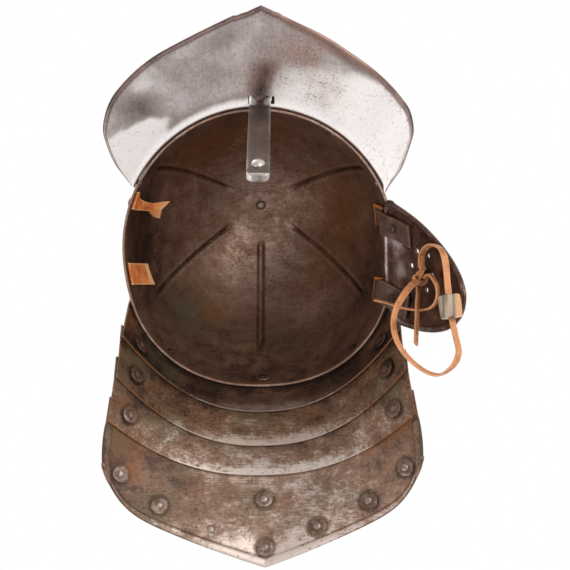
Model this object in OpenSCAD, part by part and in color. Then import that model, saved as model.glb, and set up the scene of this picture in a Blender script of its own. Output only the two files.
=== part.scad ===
// Lobster-tail helmet: fluted one-piece skull, pointed peak with a sliding nasal bar,
// a tail of four overlapping lames and one cheek-piece that hangs on two straps.
// Millimetres. The front is -Y, the wearer's left is +X, and the rim lies at z = 0.

/* [Skull] */
// outside width at the rim
skull_w = 205.2; // [188:0.2:220]
// outside length at the rim
skull_l = 216.6; // [200:0.2:232]
// outside height above the rim
skull_h = 150; // [135:1:165]
// thickness of the skull's plate
wall = 1.8; // [1.4:0.1:2.4]
// how far the crown stands behind the rim's centre
crown_back = 3; // [0:0.5:12]
// fullness of the rear half of the rim, 2 is an ellipse
fullness = 2.25; // [2:0.05:2.6]
// embossed flutes round the crown
flutes = 6; // [4:1:8]
// width of a flute
flute_w = 5; // [3:0.5:8]
// height of a flute
flute_d = 2; // [1:0.1:3]
// bore in the crown for the finial's shank
crown_bore = 6; // [5:0.5:8]
// width of the crown rosette
rosette_d = 34; // [24:1:44]

/* [Peak] */
// reach of the peak's point ahead of the rim
peak_reach = 78; // [60:1:90]
// half width of the peak at its widest
peak_half = 112; // [100:1:118]
// droop of the peak
peak_droop = 15; // [5:1:22]
// thickness of the peak's plate
peak_t = 1.6; // [1.2:0.1:2.2]
// thickness of the turned edge
hem_t = 3.4; // [2.6:0.1:4.5]
// width of the turned edge
hem_w = 4.5; // [3:0.5:7]
// height of the peak's flange up the skull
flange_h = 12; // [8:1:18]
// width of the slot for the nasal bar
slot_w = 19.4; // [17:0.2:24]
// depth of the slot, from the flange forward
slot_d = 8.6; // [6:0.2:11]
// how far the slot and the point are off the middle
slot_off = 2.2; // [0:0.2:4]
// how far the wearer's right half of the outline runs ahead of the left half
peak_uneven = 3.5; // [0:0.5:6]

/* [Nasal bar] */
// width of the bar
bar_w = 16; // [12:0.5:20]
// thickness of the bar
bar_t = 3.3; // [2.5:0.1:4.5]
// length below the slot
bar_down = 144.5; // [120:0.5:165]
// length above the slot
bar_up = 58; // [50:1:75]
// lean of the bar's straight part
bar_lean = 4; // [0:0.5:8]
// straight length below the slot
bar_straight = 42; // [38:1:60]
// radius of the curve towards the face
bar_r = 470; // [350:10:800]
// width of the knob near the lower end
knob_d = 9.6; // [5:0.2:12]
// height of the knob above the lower end
knob_up = 17; // [10:0.5:30]
// set screw's thread width
screw_d = 6; // [5:0.5:8]

/* [Tail] */
// thickness of the lames
lame_t = 1.4; // [1.1:0.1:1.8]
// gap between two lames where one leaves the other
lame_gap = 0.5; // [0.4:0.1:1]
// clearance between the first lame and the skull
skull_gap = 0.7; // [0.6:0.1:1.2]
// how far a lame's front corner stands off the lame above it
stand_off = 2.2; // [1.8:0.1:3]
// the tail sits a little askew
tail_skew = 1.4; // [0:0.1:2.5]

/* [Cheek-piece] */
// width of the cheek-piece
cheek_w = 92; // [80:1:100]
// length of the cheek-piece below its hinge
cheek_l = 122; // [105:1:130]
// outward lean of the hanging cheek-piece
cheek_splay = 25; // [15:0.5:35]
// thickness of its plate
cheek_t = 1.5; // [1.2:0.1:2]
// how deeply it is dished
cheek_dish = 9; // [4:0.5:14]
// ear holes round the middle one
ear_holes = 6; // [4:1:8]
// radius of the ring of ear holes
ear_r = 15; // [11:0.5:18]
// width of an ear hole
ear_d = 4.2; // [3:0.2:6]
// how far the hinge line of the straps lies inside the skull's plate
tuck = 10.6; // [6:0.2:14]

/* [Straps] */
// width of the leather straps
strap_w = 17; // [14:0.5:22]
// thickness of the leather
strap_t = 2.4; // [1.8:0.1:3.5]
// height of the front strap's upper end
strap_up = 58; // [50:1:64]
// height of the rear strap's upper end
strap_up_rear = 40; // [38:1:60]
// length of a strap inside the cheek-piece
strap_down = 34; // [26:1:44]

/* [Thong] */
// width of the leather thong
thong_w = 5; // [4:0.2:7]
// thickness of the thong
thong_t = 1.9; // [1.5:0.1:2.5]
// width of the horn toggle
toggle_d = 16; // [12:0.5:18]
// length of the horn toggle
toggle_l = 16; // [13:0.5:22]

/* [Rivets] */
// width of a rivet's shank
rivet_d = 4; // [3:0.2:5]
// width of a rivet's head
head_d = 8.4; // [7:0.2:11]
// width of an eight-sided washer across its corners
washer_d = 13; // [11:0.5:16]
// thickness of a washer
washer_t = 1.1; // [0.8:0.1:1.6]

/* [Fit] */
// clearance round a fixed shank
fit = 0.1; // [0.05:0.05:0.3]
// clearance round a shank that a lame turns on
play = 0.45; // [0.3:0.05:0.7]
// clearance beside the sliding bar
slide = 0.35; // [0.25:0.05:0.6]

/* [Hidden] */

steel = [0.62, 0.6, 0.57];
bright = [0.8, 0.8, 0.8];
dark = [0.36, 0.31, 0.27];
tan_leather = [0.78, 0.58, 0.4];
brown_leather = [0.45, 0.36, 0.3];
horn = [0.8, 0.76, 0.68];

out_a = skull_w / 2;
out_b = skull_l / 2;
in_a = out_a - wall;
in_b = out_b - wall;
in_h = skull_h - wall;

function unit(v) = v / norm(v);
function mix(a, b, k) = a + (b - a) * k;
function steps(n) = [for (i = [0:n]) i / n];
function smooth(a, b, x) = let (k = min(1, max(0, (x - a) / (b - a)))) k * k * (3 - 2 * k);
function sgn(x) = x < 0 ? -1 : 1;
function pow_s(x, n) = sgn(x) * pow(abs(x), n);

// A plate between two faces given as rows of points, the second face on the outside.
// gap leaves out the cells from row gap[0] to gap[1] and column gap[2] to gap[3].
module plate(a, b, ring = false, gap = [0, 0, 0, 0]) {
  n = len(a);
  m = len(a[0]);
  last = ring ? m - 1 : m - 2;
  q = n * m;
  pts = concat([for (r = a) each r], [for (r = b) each r]);
  cell = [for (i = [0:n - 2], j = [0:last]) let (k = (j + 1) % m, p = i * m + j, r = i * m + k)
    if (i < gap[0] || i >= gap[1] || j < gap[2] || j >= gap[3]) [p, r, r + m, p + m]];
  shut = gap[1] > gap[0] ? concat(
    [for (j = [gap[2]:gap[3] - 1]) let (p = gap[0] * m + j, r = gap[1] * m + j)
      each [[p, p + 1, q + p + 1], [p, q + p + 1, q + p], [r, q + r + 1, r + 1], [r, q + r, q + r + 1]]],
    [for (i = [gap[0]:gap[1] - 1]) let (p = i * m + gap[2], r = i * m + gap[3])
      each [[p, q + p + m, p + m], [p, q + p, q + p + m],
        [r, r + m, q + r + m], [r, q + r + m, q + r]]]) : [];
  inner = [for (c = cell) each [[c[0], c[1], c[2]], [c[0], c[2], c[3]]]];
  outer = [for (f = inner) [q + f[2], q + f[1], q + f[0]]];
  top = [for (j = [0:last]) let (k = (j + 1) % m) each [[j, q + k, k], [j, q + j, q + k]]];
  e = (n - 1) * m;
  low = [for (j = [0:last]) let (k = (j + 1) % m)
    each [[e + j, e + k, q + e + k], [e + j, q + e + k, q + e + j]]];
  left = ring ? [] : [for (i = [0:n - 2]) let (p = i * m, r = p + m)
    each [[p, r, q + r], [p, q + r, q + p]]];
  right = ring ? [] : [for (i = [0:n - 2]) let (p = i * m + m - 1, r = p + m)
    each [[p, q + r, r], [p, q + p, q + r]]];
  polyhedron(pts, concat(inner, outer, top, low, left, right, shut), convexity = 8);
}

// Turns the Z axis to lie along n, at p.
module along(p, n) {
  translate(p) rotate([0, acos(n[2] / norm(n)), atan2(n[1], n[0])]) children();
}

// The hole for a rivet's shank.
module rivet_bore() translate([0, 0, -8]) cylinder(d = rivet_d + 2 * fit, h = 20, $fn = 24);

// A rivet's domed head on z = 0.
module dome(d, h) {
  r = (d * d / 4 + h * h) / (2 * h);
  intersection() {
    translate([0, 0, h - r]) sphere(r = r, $fn = 32);
    cylinder(d = d + 1, h = h + 1, $fn = 32);
  }
}

// A tube with a flat oval section along a line of points; the width lies along side.
module ribbon(line, side, w, t) {
  n = len(line);
  sec = [[1, 0.45], [0.8, 1], [-0.8, 1], [-1, 0.45], [-1, -0.45], [-0.8, -1], [0.8, -1], [1, -0.45]];
  rings = [for (i = [0:n - 1]) let (
    d = unit(line[min(i + 1, n - 1)] - line[max(i - 1, 0)]),
    s0 = is_list(side[0]) ? side[i] : side,
    s = unit(s0 - d * (s0 * d)), u = cross(d, s))
    [for (p = sec) line[i] + s * p[0] * w / 2 + u * p[1] * t / 2]];
  m = len(sec);
  pts = [for (r = rings) each r];
  wallf = [for (i = [0:n - 2], j = [0:m - 1]) let (k = (j + 1) % m)
    each [[i * m + j, i * m + m + j, i * m + m + k], [i * m + j, i * m + m + k, i * m + k]]];
  ends = [[for (j = [0:m - 1]) j], [for (j = [m - 1:-1:0]) (n - 1) * m + j]];
  polyhedron(pts, concat(wallf, ends), convexity = 8);
}

// A smooth line through control points.
function curve(p, n = 6) = let (m = len(p)) concat([for (i = [0:m - 2], j = [0:n - 1]) let (
  t = j / n, a = p[max(i - 1, 0)], b = p[i], c = p[i + 1], d = p[min(i + 2, m - 1)])
  0.5 * ((2 * b) + (c - a) * t + (2 * a - 5 * b + 4 * c - d) * t * t
    + (3 * b - a - 3 * c + d) * t * t * t)], [p[m - 1]]);

// Skull surface: ang from the rear towards the wearer's left, t from the crown to the rim.
function bowl(ang, t, a, b, h) = let (
  s = sin(ang), c = cos(ang), n = c > 0 ? mix(2, fullness, smooth(0, 0.5, c)) : 2)
  [a * sin(t) * pow_s(s, 2 / n), b * sin(t) * pow_s(c, 2 / n) + crown_back * pow(cos(t), 2),
   h * cos(t)];
function skull_in(ang, t) = bowl(ang, t, in_a, in_b, in_h);
function skull_out(ang, t) = bowl(ang, t, out_a, out_b, skull_h);
function t_of(z, h) = acos(min(1, z / h));
// Outward direction of the skull at a point of its outside.
function skull_nrm(ang, t) = let (e = 0.5,
  n = cross(skull_out(ang + e, t) - skull_out(ang - e, t), skull_out(ang, t + e) - skull_out(ang, t - e)))
  unit(n);

bore_t = asin(crown_bore / 2 / out_a);
flute_from = 15;
flute_to = 66;
skull_rows = [bore_t, 6, 10, 14, 17, 21, 28, 36, 44, 52, 59, 64, 68, 73, 79, 85, 90];
between = 7;
function flute_rise(t) = flute_d * smooth(flute_from - 1, flute_from + 4, t)
  * (1 - smooth(flute_to - 4, flute_to + 2, t));
function skull_ring(t, a, b, h) = [for (k = [0:flutes - 1]) let (
  step = 360 / flutes, base = k * step, half = min(9, asin(min(1, flute_w / 2 / (a * sin(t))))))
  each concat([let (p = bowl(base, t, a, b, h), o = skull_nrm(base, max(t, 6))) p + o * flute_rise(t)],
    [bowl(base + half, t, a, b, h)],
    [for (i = [1:between]) bowl(base + mix(half, step - half, i / (between + 1)), t, a, b, h)],
    [bowl(base + step - half, t, a, b, h)])];

// Rivet heads inside the skull stand clear of its flat facets.
head_gap = 0.7;

// Places on the skull, as angle and height above the rim.
peak_rivet_at = [118, 146, 214, 242];
bracket_rivet_at = [[167.5, 33], [192.5, 33]];
strap_rivet_z = 34;

module skull() color(steel) difference() {
  plate([for (t = skull_rows) skull_ring(t, in_a, in_b, in_h)],
    [for (t = skull_rows) skull_ring(t, out_a, out_b, skull_h)], true);
  for (a = peak_rivet_at) peak_rivet_axis(a) rivet_bore();
  for (q = bracket_rivet_at) bracket_axis(q) rivet_bore();
  for (q = lame_1_fix) lame_1_axis(q) rivet_bore();
  for (q = concat(strap_fix, stub_fix)) strap_axis(q) rivet_bore();
}

module crown_rosette() color(steel) {
  rise = 1.3;
  at = [bore_t + 0.05, 4, 7, rosette_t];
  plate([for (t = at) [for (k = [0:35]) rosette_pt(k, t, 0.1)]],
    [for (t = at) [for (k = [0:35]) rosette_pt(k, t, 0.1 + rise)]], true);
}
rosette_t = asin(rosette_d / 2 / out_a);
function rosette_pt(k, t, up) = let (s = t > 7 ? 1 + 0.1 * (k % 6 < 3 ? k % 6 : 6 - k % 6) / 3 - 0.1 : 1)
  bowl(k * 10, t * s, out_a, out_b, skull_h) + [0, 0, up];

module crown_finial() color(steel) translate([0, crown_back, 0]) {
  top = skull_h + 1.5;
  translate([0, 0, top]) rotate_extrude($fn = 40) polygon(concat([[0, 0], [7, 0], [7, 1.2], [3.4, 2.6],
    [3, 4.2]], [for (a = [-50:10:90]) [4.6 * cos(a), 8 + 4.6 * sin(a)]], [[0, 12.6]]));
  translate([0, 0, in_h - 1.2]) cylinder(d = crown_bore - 2 * fit, h = top - in_h + 1.3, $fn = 32);
  translate([0, 0, in_h - 0.4]) mirror([0, 0, 1]) dome(8, 2);
}

// Peak, column by column from the middle to the corner: half width share of the outline,
// its reach share, and half width of the root on the skull.
peak_line = [[0.16, 0.921, 18], [0.29, 0.83, 31], [0.42, 0.735, 41], [0.56, 0.617, 51], [0.7, 0.485, 60],
  [0.82, 0.34, 67.5], [0.92, 0.18, 74], [0.985, 0.03, 79.5], [1.016, -0.16, 84], [1, -0.31, 86.5],
  [0.95, -0.53, 89.3], [0.9, -0.652, 90.9], [0.84, -0.778, 92]];
peak_soft = curve(peak_line, 2);
bend_r = 2;
slot_l = slot_off - slot_w / 2;
slot_r = slot_off + slot_w / 2;
function tip_share(x) = 1.02 - 0.0062 * abs(x - slot_off);
// Columns from the wearer's left to right: outline x, outline y, root x.
function uneven(q) = peak_uneven / 2 * smooth(0.4, 0.7, q) * (1 - smooth(0.93, 1.01, q));
function peak_side(s) = [for (p = peak_soft)
  [s * p[0] * peak_half, -out_b - p[1] * peak_reach + s * uneven(p[0]), s * p[2]]];
peak_left = peak_side(1);
peak_cols = concat([for (i = [len(peak_left) - 1:-1:0]) peak_left[i]],
  [for (x = [slot_r, slot_off, slot_l]) [x, -out_b - tip_share(x) * peak_reach, x]],
  peak_side(-1));
slot_col = len(peak_left);
function front_of(x) = 180 - asin(min(1, abs(x) / out_a)) * sgn(x);
// f below 0 is the flange, 0 to 1 the bend and over 1 the plate out to its edge.
function peak_pt(u, f, up) = let (
  ang = front_of(u[2]), base = skull_out(ang, 90), d = [u[0], u[1], 0] - base,
  o = unit(d), shut = mix(0.2, 1, smooth(0, 14, norm(d))), lo = bend_r * shut + peak_t,
  g = 0.35, dist = max(norm(d), g + lo + 0.9), r = lo - up, z0 = -1.2,
  flat = [base[0], base[1], 0])
  f < 0 ? let (z = mix(z0 + lo, flange_h, -f), w = skull_out(ang, t_of(max(0, z), skull_h)))
      [w[0], w[1], 0] + o * (g + up) + [0, 0, z]
  : f <= 1 ? flat + o * (g + lo - r * cos(90 * f)) + [0, 0, z0 + lo - r * sin(90 * f)]
  : let (run = dist - g - lo)
    flat + o * (g + lo + run * (f - 1)) + [0, 0, z0 + up - tan(peak_droop) * run * (f - 1)];
hem_in = [1, 0.8, 0.45, 0.16, 0];
hem_up = [0.02, 0.85, 1, 0.8, 0.1];
// Where a strip of width w along the outline begins.
function edge_f(u, w) = let (dist = norm([u[0], u[1], 0] - skull_out(front_of(u[2]), 90)))
  2 - min(0.5, hem_w / max(dist - bend_r - peak_t, 1)) * w / hem_w;
slot_f = (slot_d + peak_t - bend_r - peak_t) / (peak_reach - bend_r - peak_t - 0.35);
// Rows of one face; the turned edge is the thicker strip along the outline.
function peak_face(up) = let (side = up > 0 ? 1 : -1, extra = (hem_t - peak_t) / 2) concat(
  [for (f = [-1, -0.5, 0, 0.33, 0.67, 1]) [for (u = peak_cols) peak_pt(u, f, up)]],
  [for (f = [slot_f, 0.3, 0.55, 0.8]) [for (u = peak_cols) peak_pt(u, mix(1, edge_f(u, hem_w), f), up)]],
  [for (i = [0:4]) [for (u = peak_cols) peak_pt(u, edge_f(u, hem_w * hem_in[i]), up)
    + [0, 0, side * extra * hem_up[i]]]]);

module peak() color(bright) difference() {
  plate(peak_face(0), peak_face(peak_t), false, [2, 6, slot_col, slot_col + 2]);
  for (a = peak_rivet_at) peak_rivet_axis(a) rivet_bore();
}
module peak_rivet_axis(a) {
  t = t_of(7, skull_h);
  along(skull_out(a, t), skull_nrm(a, t)) children();
}
module peak_rivets() color(bright) for (a = peak_rivet_at) peak_rivet_axis(a) {
  translate([0, 0, peak_t + 0.6]) dome(head_d, 2.4);
  translate([0, 0, -wall - head_gap - 0.4])
    cylinder(d = rivet_d, h = wall + head_gap + peak_t + 1.6, $fn = 24);
  translate([0, 0, -wall - head_gap]) mirror([0, 0, 1]) dome(6, 1.2);
}

// Frame of the nasal bar: the origin is the back of the bar at the slot, z up along the bar.
bar_y = -out_b - peak_t - 0.35 - slide;
bar_z = -4;
module bar_frame() translate([1.2, bar_y, bar_z]) rotate([bar_lean, 0, 0]) children();
function bar_back(z) = z > -bar_straight ? [0, z] : let (a = (-z - bar_straight) / bar_r * 57.2958)
  [bar_r * (1 - cos(a)), -bar_straight - bar_r * sin(a)];
function bar_dir(z) = z > -bar_straight ? 0 : (-z - bar_straight) / bar_r * 57.2958;
bar_marks = concat([bar_up, 0], [for (k = steps(14)) mix(-bar_straight, -bar_down, k)]);
foot_r = 4.5;
lip_r = 2.3;
module nasal_bar() color(steel) bar_frame() difference() {
  intersection() {
    union() {
      bar_strip();
      bar_lip();
    }
    // the bar's front outline, with its corners rounded
    rotate([90, 0, 0]) translate([0, 0, -bar_w * 2]) linear_extrude(bar_w * 4)
      offset(r = foot_r, $fn = 32) offset(delta = -foot_r)
        translate([-bar_w / 2, bar_foot]) square([bar_w, bar_up - bar_foot]);
  }
  knob_axis() translate([0, 0, -8]) cylinder(d = 3 + 2 * fit, h = 16, $fn = 24);
}
bar_foot = bar_back(-bar_down)[1] - lip_r + 0.4;
module bar_strip() rotate([90, 0, 90]) translate([0, 0, -bar_w / 2]) linear_extrude(bar_w)
  polygon(concat([for (z = bar_marks) bar_back(z)],
    [for (i = [len(bar_marks) - 1:-1:0]) let (z = bar_marks[i], a = bar_dir(z))
      bar_back(z) + bar_t * [-cos(a), -sin(a)]]));
// The lip is turned forward at the foot.
module bar_lip() let (p = bar_back(-bar_down), a = bar_dir(-bar_down), d = bar_t - 0.4)
  translate([-bar_w / 2, p[0] - d * cos(a), p[1] - d * sin(a) + 0.6])
    rotate([0, 90, 0]) cylinder(r = lip_r, h = bar_w, $fn = 32);
knob_z = -bar_down + knob_up;
module knob_axis() let (p = bar_back(knob_z), a = bar_dir(knob_z))
  translate([0, p[0] - bar_t * cos(a), p[1] - bar_t * sin(a)]) rotate([90 + a, 0, 0]) children();
module nasal_knob() color(bright) bar_frame() knob_axis() {
  translate([0, 0, 0.05]) dome(knob_d, 3.2);
  translate([0, 0, -bar_t - 0.6]) cylinder(d = 3, h = bar_t + 1, $fn = 24);
  translate([0, 0, -bar_t - 0.05]) mirror([0, 0, 1]) dome(5.4, 1.1);
}

// Bracket: a foot plate on the skull, two arms, a bridge over the bar and a pointed tongue.
arm_t = 2.6;
arm_z = [24, 44];
screw_z = (arm_z[0] + arm_z[1]) / 2;
bridge_y = -bar_t - slide;
function foot_face(off) = [for (k = steps(4)) let (t = t_of(mix(arm_z[1] + 1, arm_z[0] - 5, k), skull_h))
  [for (a = [159:3:201]) skull_out(a, t) + off * skull_nrm(a, t)]];
module nasal_bracket() color(dark) difference() {
  union() {
    plate(foot_face(0.4), foot_face(2.4));
    bar_frame() {
      for (s = [-1, 1]) translate([s * (bar_w / 2 + slide + arm_t / 2) - arm_t / 2, 0, 0])
        rotate([90, 0, 90]) linear_extrude(arm_t)
          polygon([[bridge_y - 3, arm_z[0] + 2], [bridge_y - 3, arm_z[1] - 2], [bridge_y - 1, arm_z[1]],
            [8.8, arm_z[1]], [3.6, arm_z[0]], [bridge_y - 1, arm_z[0]]]);
      translate([-bar_w / 2 - slide - arm_t, bridge_y - 3, arm_z[0] + 2])
        cube([bar_w + 2 * slide + 2 * arm_t, 3, arm_z[1] - arm_z[0] - 4]);
      translate([0, bridge_y - 2.9, screw_z]) rotate([90, 0, 0]) cylinder(d = 12, h = 3, $fn = 36);
      translate([0, bridge_y, 0]) rotate([90, 0, 0]) linear_extrude(1.6)
        polygon([[-bar_w / 2 - 2, arm_z[0] + 4], [bar_w / 2 + 2, arm_z[0] + 4],
          [bar_w / 2 - 1, arm_z[0] - 4], [3.8, 12], [0.5, 1], [-0.5, 1], [-3.8, 12],
          [-bar_w / 2 + 1, arm_z[0] - 4]]);
    }
  }
  bar_frame() translate([0, 2, screw_z]) rotate([90, 0, 0])
    cylinder(d = screw_d + 2 * fit, h = 30, $fn = 32);
  for (q = bracket_rivet_at) bracket_axis(q) rivet_bore();
}
module bracket_axis(q) {
  t = t_of(q[1], skull_h);
  along(skull_out(q[0], t), skull_nrm(q[0], t)) children();
}
module bracket_rivets() color(dark) for (q = bracket_rivet_at) bracket_axis(q) {
  translate([0, 0, 2.6]) dome(head_d - 1, 2);
  translate([0, 0, -wall - head_gap - 0.4]) cylinder(d = rivet_d, h = wall + head_gap + 3.8, $fn = 24);
  translate([0, 0, -wall - head_gap]) mirror([0, 0, 1]) dome(6, 1.2);
}

// Set screw with a flat two-lobed thumb piece.
module set_screw() color(dark) bar_frame() translate([0, -bar_t - 0.05, screw_z]) rotate([90, 0, 0]) {
  cylinder(d = screw_d - 0.1, h = 12, $fn = 32);
  translate([0, 0, 7]) cylinder(d = 10, h = 3, $fn = 32);
  translate([0, 1.2, 0]) rotate([90, 0, 0]) linear_extrude(2.4) difference() {
    union() {
      for (s = [-1, 1]) translate([s * 6, 15]) circle(d = 12, $fn = 32);
      translate([-4, 8]) square([8, 10]);
    }
    for (s = [-1, 1]) translate([s * 7, 15.5]) circle(d = 4.5, $fn = 24);
  }
}

// Tail. Each line: half width at the ends, middle back, ends back, middle height, end height.
rim_half = out_a - 4;
low = [[0, 0, 0, 0, 0], [out_a, out_b + 12.5, out_b - 51.9, -20, -28],
  [out_a + 3.8, out_b + 31.2, out_b - 29.4, -44, -55], [out_a + 10, out_b + 47.5, out_b - 2.3, -63, -76],
  [out_a + 13, out_b + 102.7, out_b + 26.2, -107, -95]];
line_pow = 2.3;
function skull_y(x, z, off) = let (s = sin(t_of(z, skull_h)), a = out_a * s + off, b = out_b * s + off,
  k = max(0, 1 - pow(abs(x) / a, fullness))) b * pow(k, 1 / fullness);
function edge_pt(k, u) = let (v = low[k], q = abs(u))
  k == 0 ? let (x = rim_half * u) [x, skull_y(x, 0, skull_gap), 0]
  : k == 4 ? let (point = v[1] - 0.355 * v[0])
    [v[0] * u, v[1] - 0.355 * v[0] * q - 7 * q * q * (1 - pow(q, 6)) - (point - v[2]) * pow(q, 12),
     v[3] + (v[4] - v[3]) * q * q]
  : [v[0] * u, v[1] - (v[1] - v[2]) * pow(q, line_pow), v[3] - (v[3] - v[4]) * pow(q, line_pow)];
function fall(k, u) = unit(edge_pt(k, u) - edge_pt(k - 1, u));
function face_n(k, u) = let (c = min(0.98, max(-0.98, u)))
  unit(cross(edge_pt(k, c + 0.02) - edge_pt(k, c - 0.02), fall(k, u)));
lap_mid = 14;
lap_side = [0, 0, 17, 23, 22.5];
lap_end = [0, 0, 13, 19, 19.5];
function lap(k, u) = let (q = abs(u))
  lap_mid + (lap_side[k] - lap_mid) * pow(q, 4) - (lap_side[k] - lap_end[k]) * pow(q, 24);
// Inside face of a lame: w below 0 lies over the lame above, w from 0 to 1 is its own fall.
function lame_in(k, w, u) = k == 1
  ? (w < 0 ? let (z = -w * mix(22, 9, u * u), x = (rim_half - 0.02 * z) * u)
      [x, skull_y(x, z, skull_gap), z]
    : mix(edge_pt(0, u), edge_pt(1, u), w) + face_n(1, u) * 1.2 * (w - w * w))
  : let (a = edge_pt(k - 1, u), f = fall(k - 1, u), n = face_n(k - 1, u), m = a + n * (lame_t + lame_gap))
    w < 0 ? m + f * w * lap(k, u) + n * (-w) * mix(0.4, stand_off - lame_gap, pow(abs(u), 3))
    : mix(m, edge_pt(k, u), w) - face_n(k, u) * 5 * (k == 4 ? 1.4 : 0.35) * (w - w * w)
      + [k == 4 ? 9.6 * pow_s(u, 3) * (w - w * w) : 0, 0, 0];
function lame_n(k, w, u) = let (c = min(0.985, max(-0.985, u)), e = 0.04,
  n = cross(lame_in(k, w, c + 0.015) - lame_in(k, w, c - 0.015),
    w < 0 ? lame_in(k, min(w, -0.02), c) - lame_in(k, min(w, -0.02) - e, c)
      : lame_in(k, max(w, 0.02) + e, c) - lame_in(k, max(w, 0.02), c))) unit(n);
lame_cols = [for (i = [-16:16]) let (k = i / 16) sgn(k) * (1 - pow(1 - abs(k), 1.15))];
lame_rows = [-1, -0.66, -0.33, 0, 0.12, 0.34, 0.56, 0.78, 1];
module lame(k) plate([for (w = lame_rows) [for (u = lame_cols) lame_in(k, w, u)]],
  [for (w = lame_rows) [for (u = lame_cols) lame_in(k, w, u) + lame_t * lame_n(k, w, u)]]);
module skew() rotate([0, 0, -tail_skew]) children();

// Pivots: share of the half width, and height above the upper lame's lower edge.
pivot_at = [[0, 0], [0, 0], [0.895, 11], [0.89, 16], [0.889, 15.3]];
function pivot_w(k) = let (q = pivot_at[k]) -q[1] / lap(k, q[0]);
// Point on the inside of the upper lame, and the plate's outward direction there.
function pivot_pt(k, s) = let (q = pivot_at[k], u = s * q[0]) edge_pt(k - 1, u) - fall(k - 1, u) * q[1]
  + (k == 2 ? face_n(1, u) * 0.3 : -face_n(k - 1, u) * 0.32);
function pivot_n(k, s) = let (u = s * pivot_at[k][0]) unit(face_n(k - 1, u) + lame_n(k, pivot_w(k), u));
function pivot_stack(k, s) = let (u = s * pivot_at[k][0])
  (lame_in(k, pivot_w(k), u) - pivot_pt(k, s)) * pivot_n(k, s) + lame_t;
module pivot(k, s) along(pivot_pt(k, s), pivot_n(k, s)) children();
module pivot_holes(k, loose) for (s = [-1, 1]) pivot(k, s)
  translate([0, 0, -8]) cylinder(d = rivet_d + 2 * (loose ? play : fit), h = 20, $fn = 24);
module pivot_rivet(k) color(steel) skew() for (s = [-1, 1]) pivot(k, s) {
  top = pivot_stack(k, s) + 0.7;
  translate([0, 0, -washer_t - 1.3]) cylinder(d = rivet_d, h = top + washer_t + 1.7, $fn = 24);
  translate([0, 0, top]) dome(head_d + 0.6, 2.4);
  translate([0, 0, -washer_t - 0.85]) mirror([0, 0, 1]) dome(6.4, 1.5);
}
module pivot_washer(k) color(steel) skew() for (s = [-1, 1]) pivot(k, s)
  translate([0, 0, -washer_t - 0.75]) difference() {
    cylinder(d = washer_d, h = washer_t, $fn = 8);
    rivet_bore();
  }

lame_1_fix = [[0, 14.5], [-0.72, 11], [0.72, 11]];
function lame_1_pt(q) = let (x = rim_half * q[0]) [x, skull_y(x, q[1], 0), q[1]];
function lame_1_n(q) = let (x = rim_half * q[0], z = q[1])
  unit(cross([2, skull_y(x + 1, z, 0) - skull_y(x - 1, z, 0), 0],
    [0, skull_y(x, z - 1, 0) - skull_y(x, z + 1, 0), -2]));
module lame_1_axis(q) skew() along(lame_1_pt(q), lame_1_n(q)) children();

module tail_lame_1() color(dark) difference() {
  skew() lame(1);
  for (q = lame_1_fix) lame_1_axis(q) rivet_bore();
  skew() pivot_holes(2, false);
}
module lame_1_rivets() color(dark) for (q = lame_1_fix) lame_1_axis(q) {
  inner = q[0] == 0 ? washer_t + 0.45 : head_gap + 0.1;
  translate([0, 0, lame_t + skull_gap + 0.4]) dome(head_d, 2.2);
  translate([0, 0, -wall - inner - 0.4])
    cylinder(d = rivet_d, h = wall + inner + lame_t + skull_gap + 1.4, $fn = 24);
  translate([0, 0, -wall - inner]) mirror([0, 0, 1]) dome(6, 1.2);
}
module lame_1_washer() color(dark) lame_1_axis(lame_1_fix[0]) translate([0, 0, -wall - washer_t - 0.3])
  difference() {
    cylinder(d = washer_d - 1, h = washer_t, $fn = 8);
    translate([0, 0, -1]) cylinder(d = rivet_d + 2 * fit, h = washer_t + 2, $fn = 24);
  }
module tail_lame_2() color(dark) skew() difference() {
  lame(2);
  pivot_holes(2, true);
  pivot_holes(3, false);
}
module pivot_rivets_2() pivot_rivet(2);
module pivot_washers_2() pivot_washer(2);
module tail_lame_3() color(dark) skew() difference() {
  lame(3);
  pivot_holes(3, true);
  pivot_holes(4, false);
}
module pivot_rivets_3() pivot_rivet(3);
module pivot_washers_3() pivot_washer(3);

// Last lame: a pointed plate whose edge is turned.
last_rows = [-1, -0.66, -0.33, 0, 0.1, 0.22, 0.36, 0.5, 0.64, 0.78, 0.9];
last_u = 1 - hem_w / low[4][0];
last_cols = concat([-1, -last_u - 0.004], [for (i = [-16:16]) let (k = i / 16)
  last_u * sgn(k) * (1 - pow(1 - abs(k), 1.1))], [last_u + 0.004, 1]);
hem_rows = [0.915, 0.93, 0.96, 0.985, 1];
hem_rise = [0.02, 0.8, 1, 0.8, 0.15];
function last_extra(w, u) = let (e = (hem_t - lame_t) / 2, side = w > 0.05 && abs(u) > last_u ? 1 : 0,
  i = w > 0.9 ? max([for (j = [0:4]) w >= hem_rows[j] ? j : 0]) : 0, lowr = w > 0.9 ? hem_rise[i] : 0)
  e * max(lowr, side * (abs(u) > 0.999 ? 0.3 : 0.9));
all_rows = concat(last_rows, hem_rows);
function last_face(side, t) = [for (w = all_rows) [for (u = last_cols)
  lame_in(4, w, u) + (t + side * last_extra(w, u)) * lame_n(4, min(w, 0.94), u)]];
module tail_lame_4() color(dark) skew() difference() {
  plate(last_face(-1, 0), last_face(1, lame_t));
  pivot_holes(4, true);
  for (q = edge_fix) edge_axis(q) rivet_bore();
}
module pivot_rivets_4() pivot_rivet(4);
module pivot_washers_4() pivot_washer(4);
// Rivets of the last lame: share of the half width, share of the fall, washer or not.
edge_fix = [[-0.9, 0.6, 1], [-0.664, 0.705, 1], [-0.34, 0.755, 0], [0, 0.275, 1], [0, 0.8, 1],
  [0.34, 0.755, 1], [0.664, 0.705, 1], [0.9, 0.6, 1]];
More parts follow.
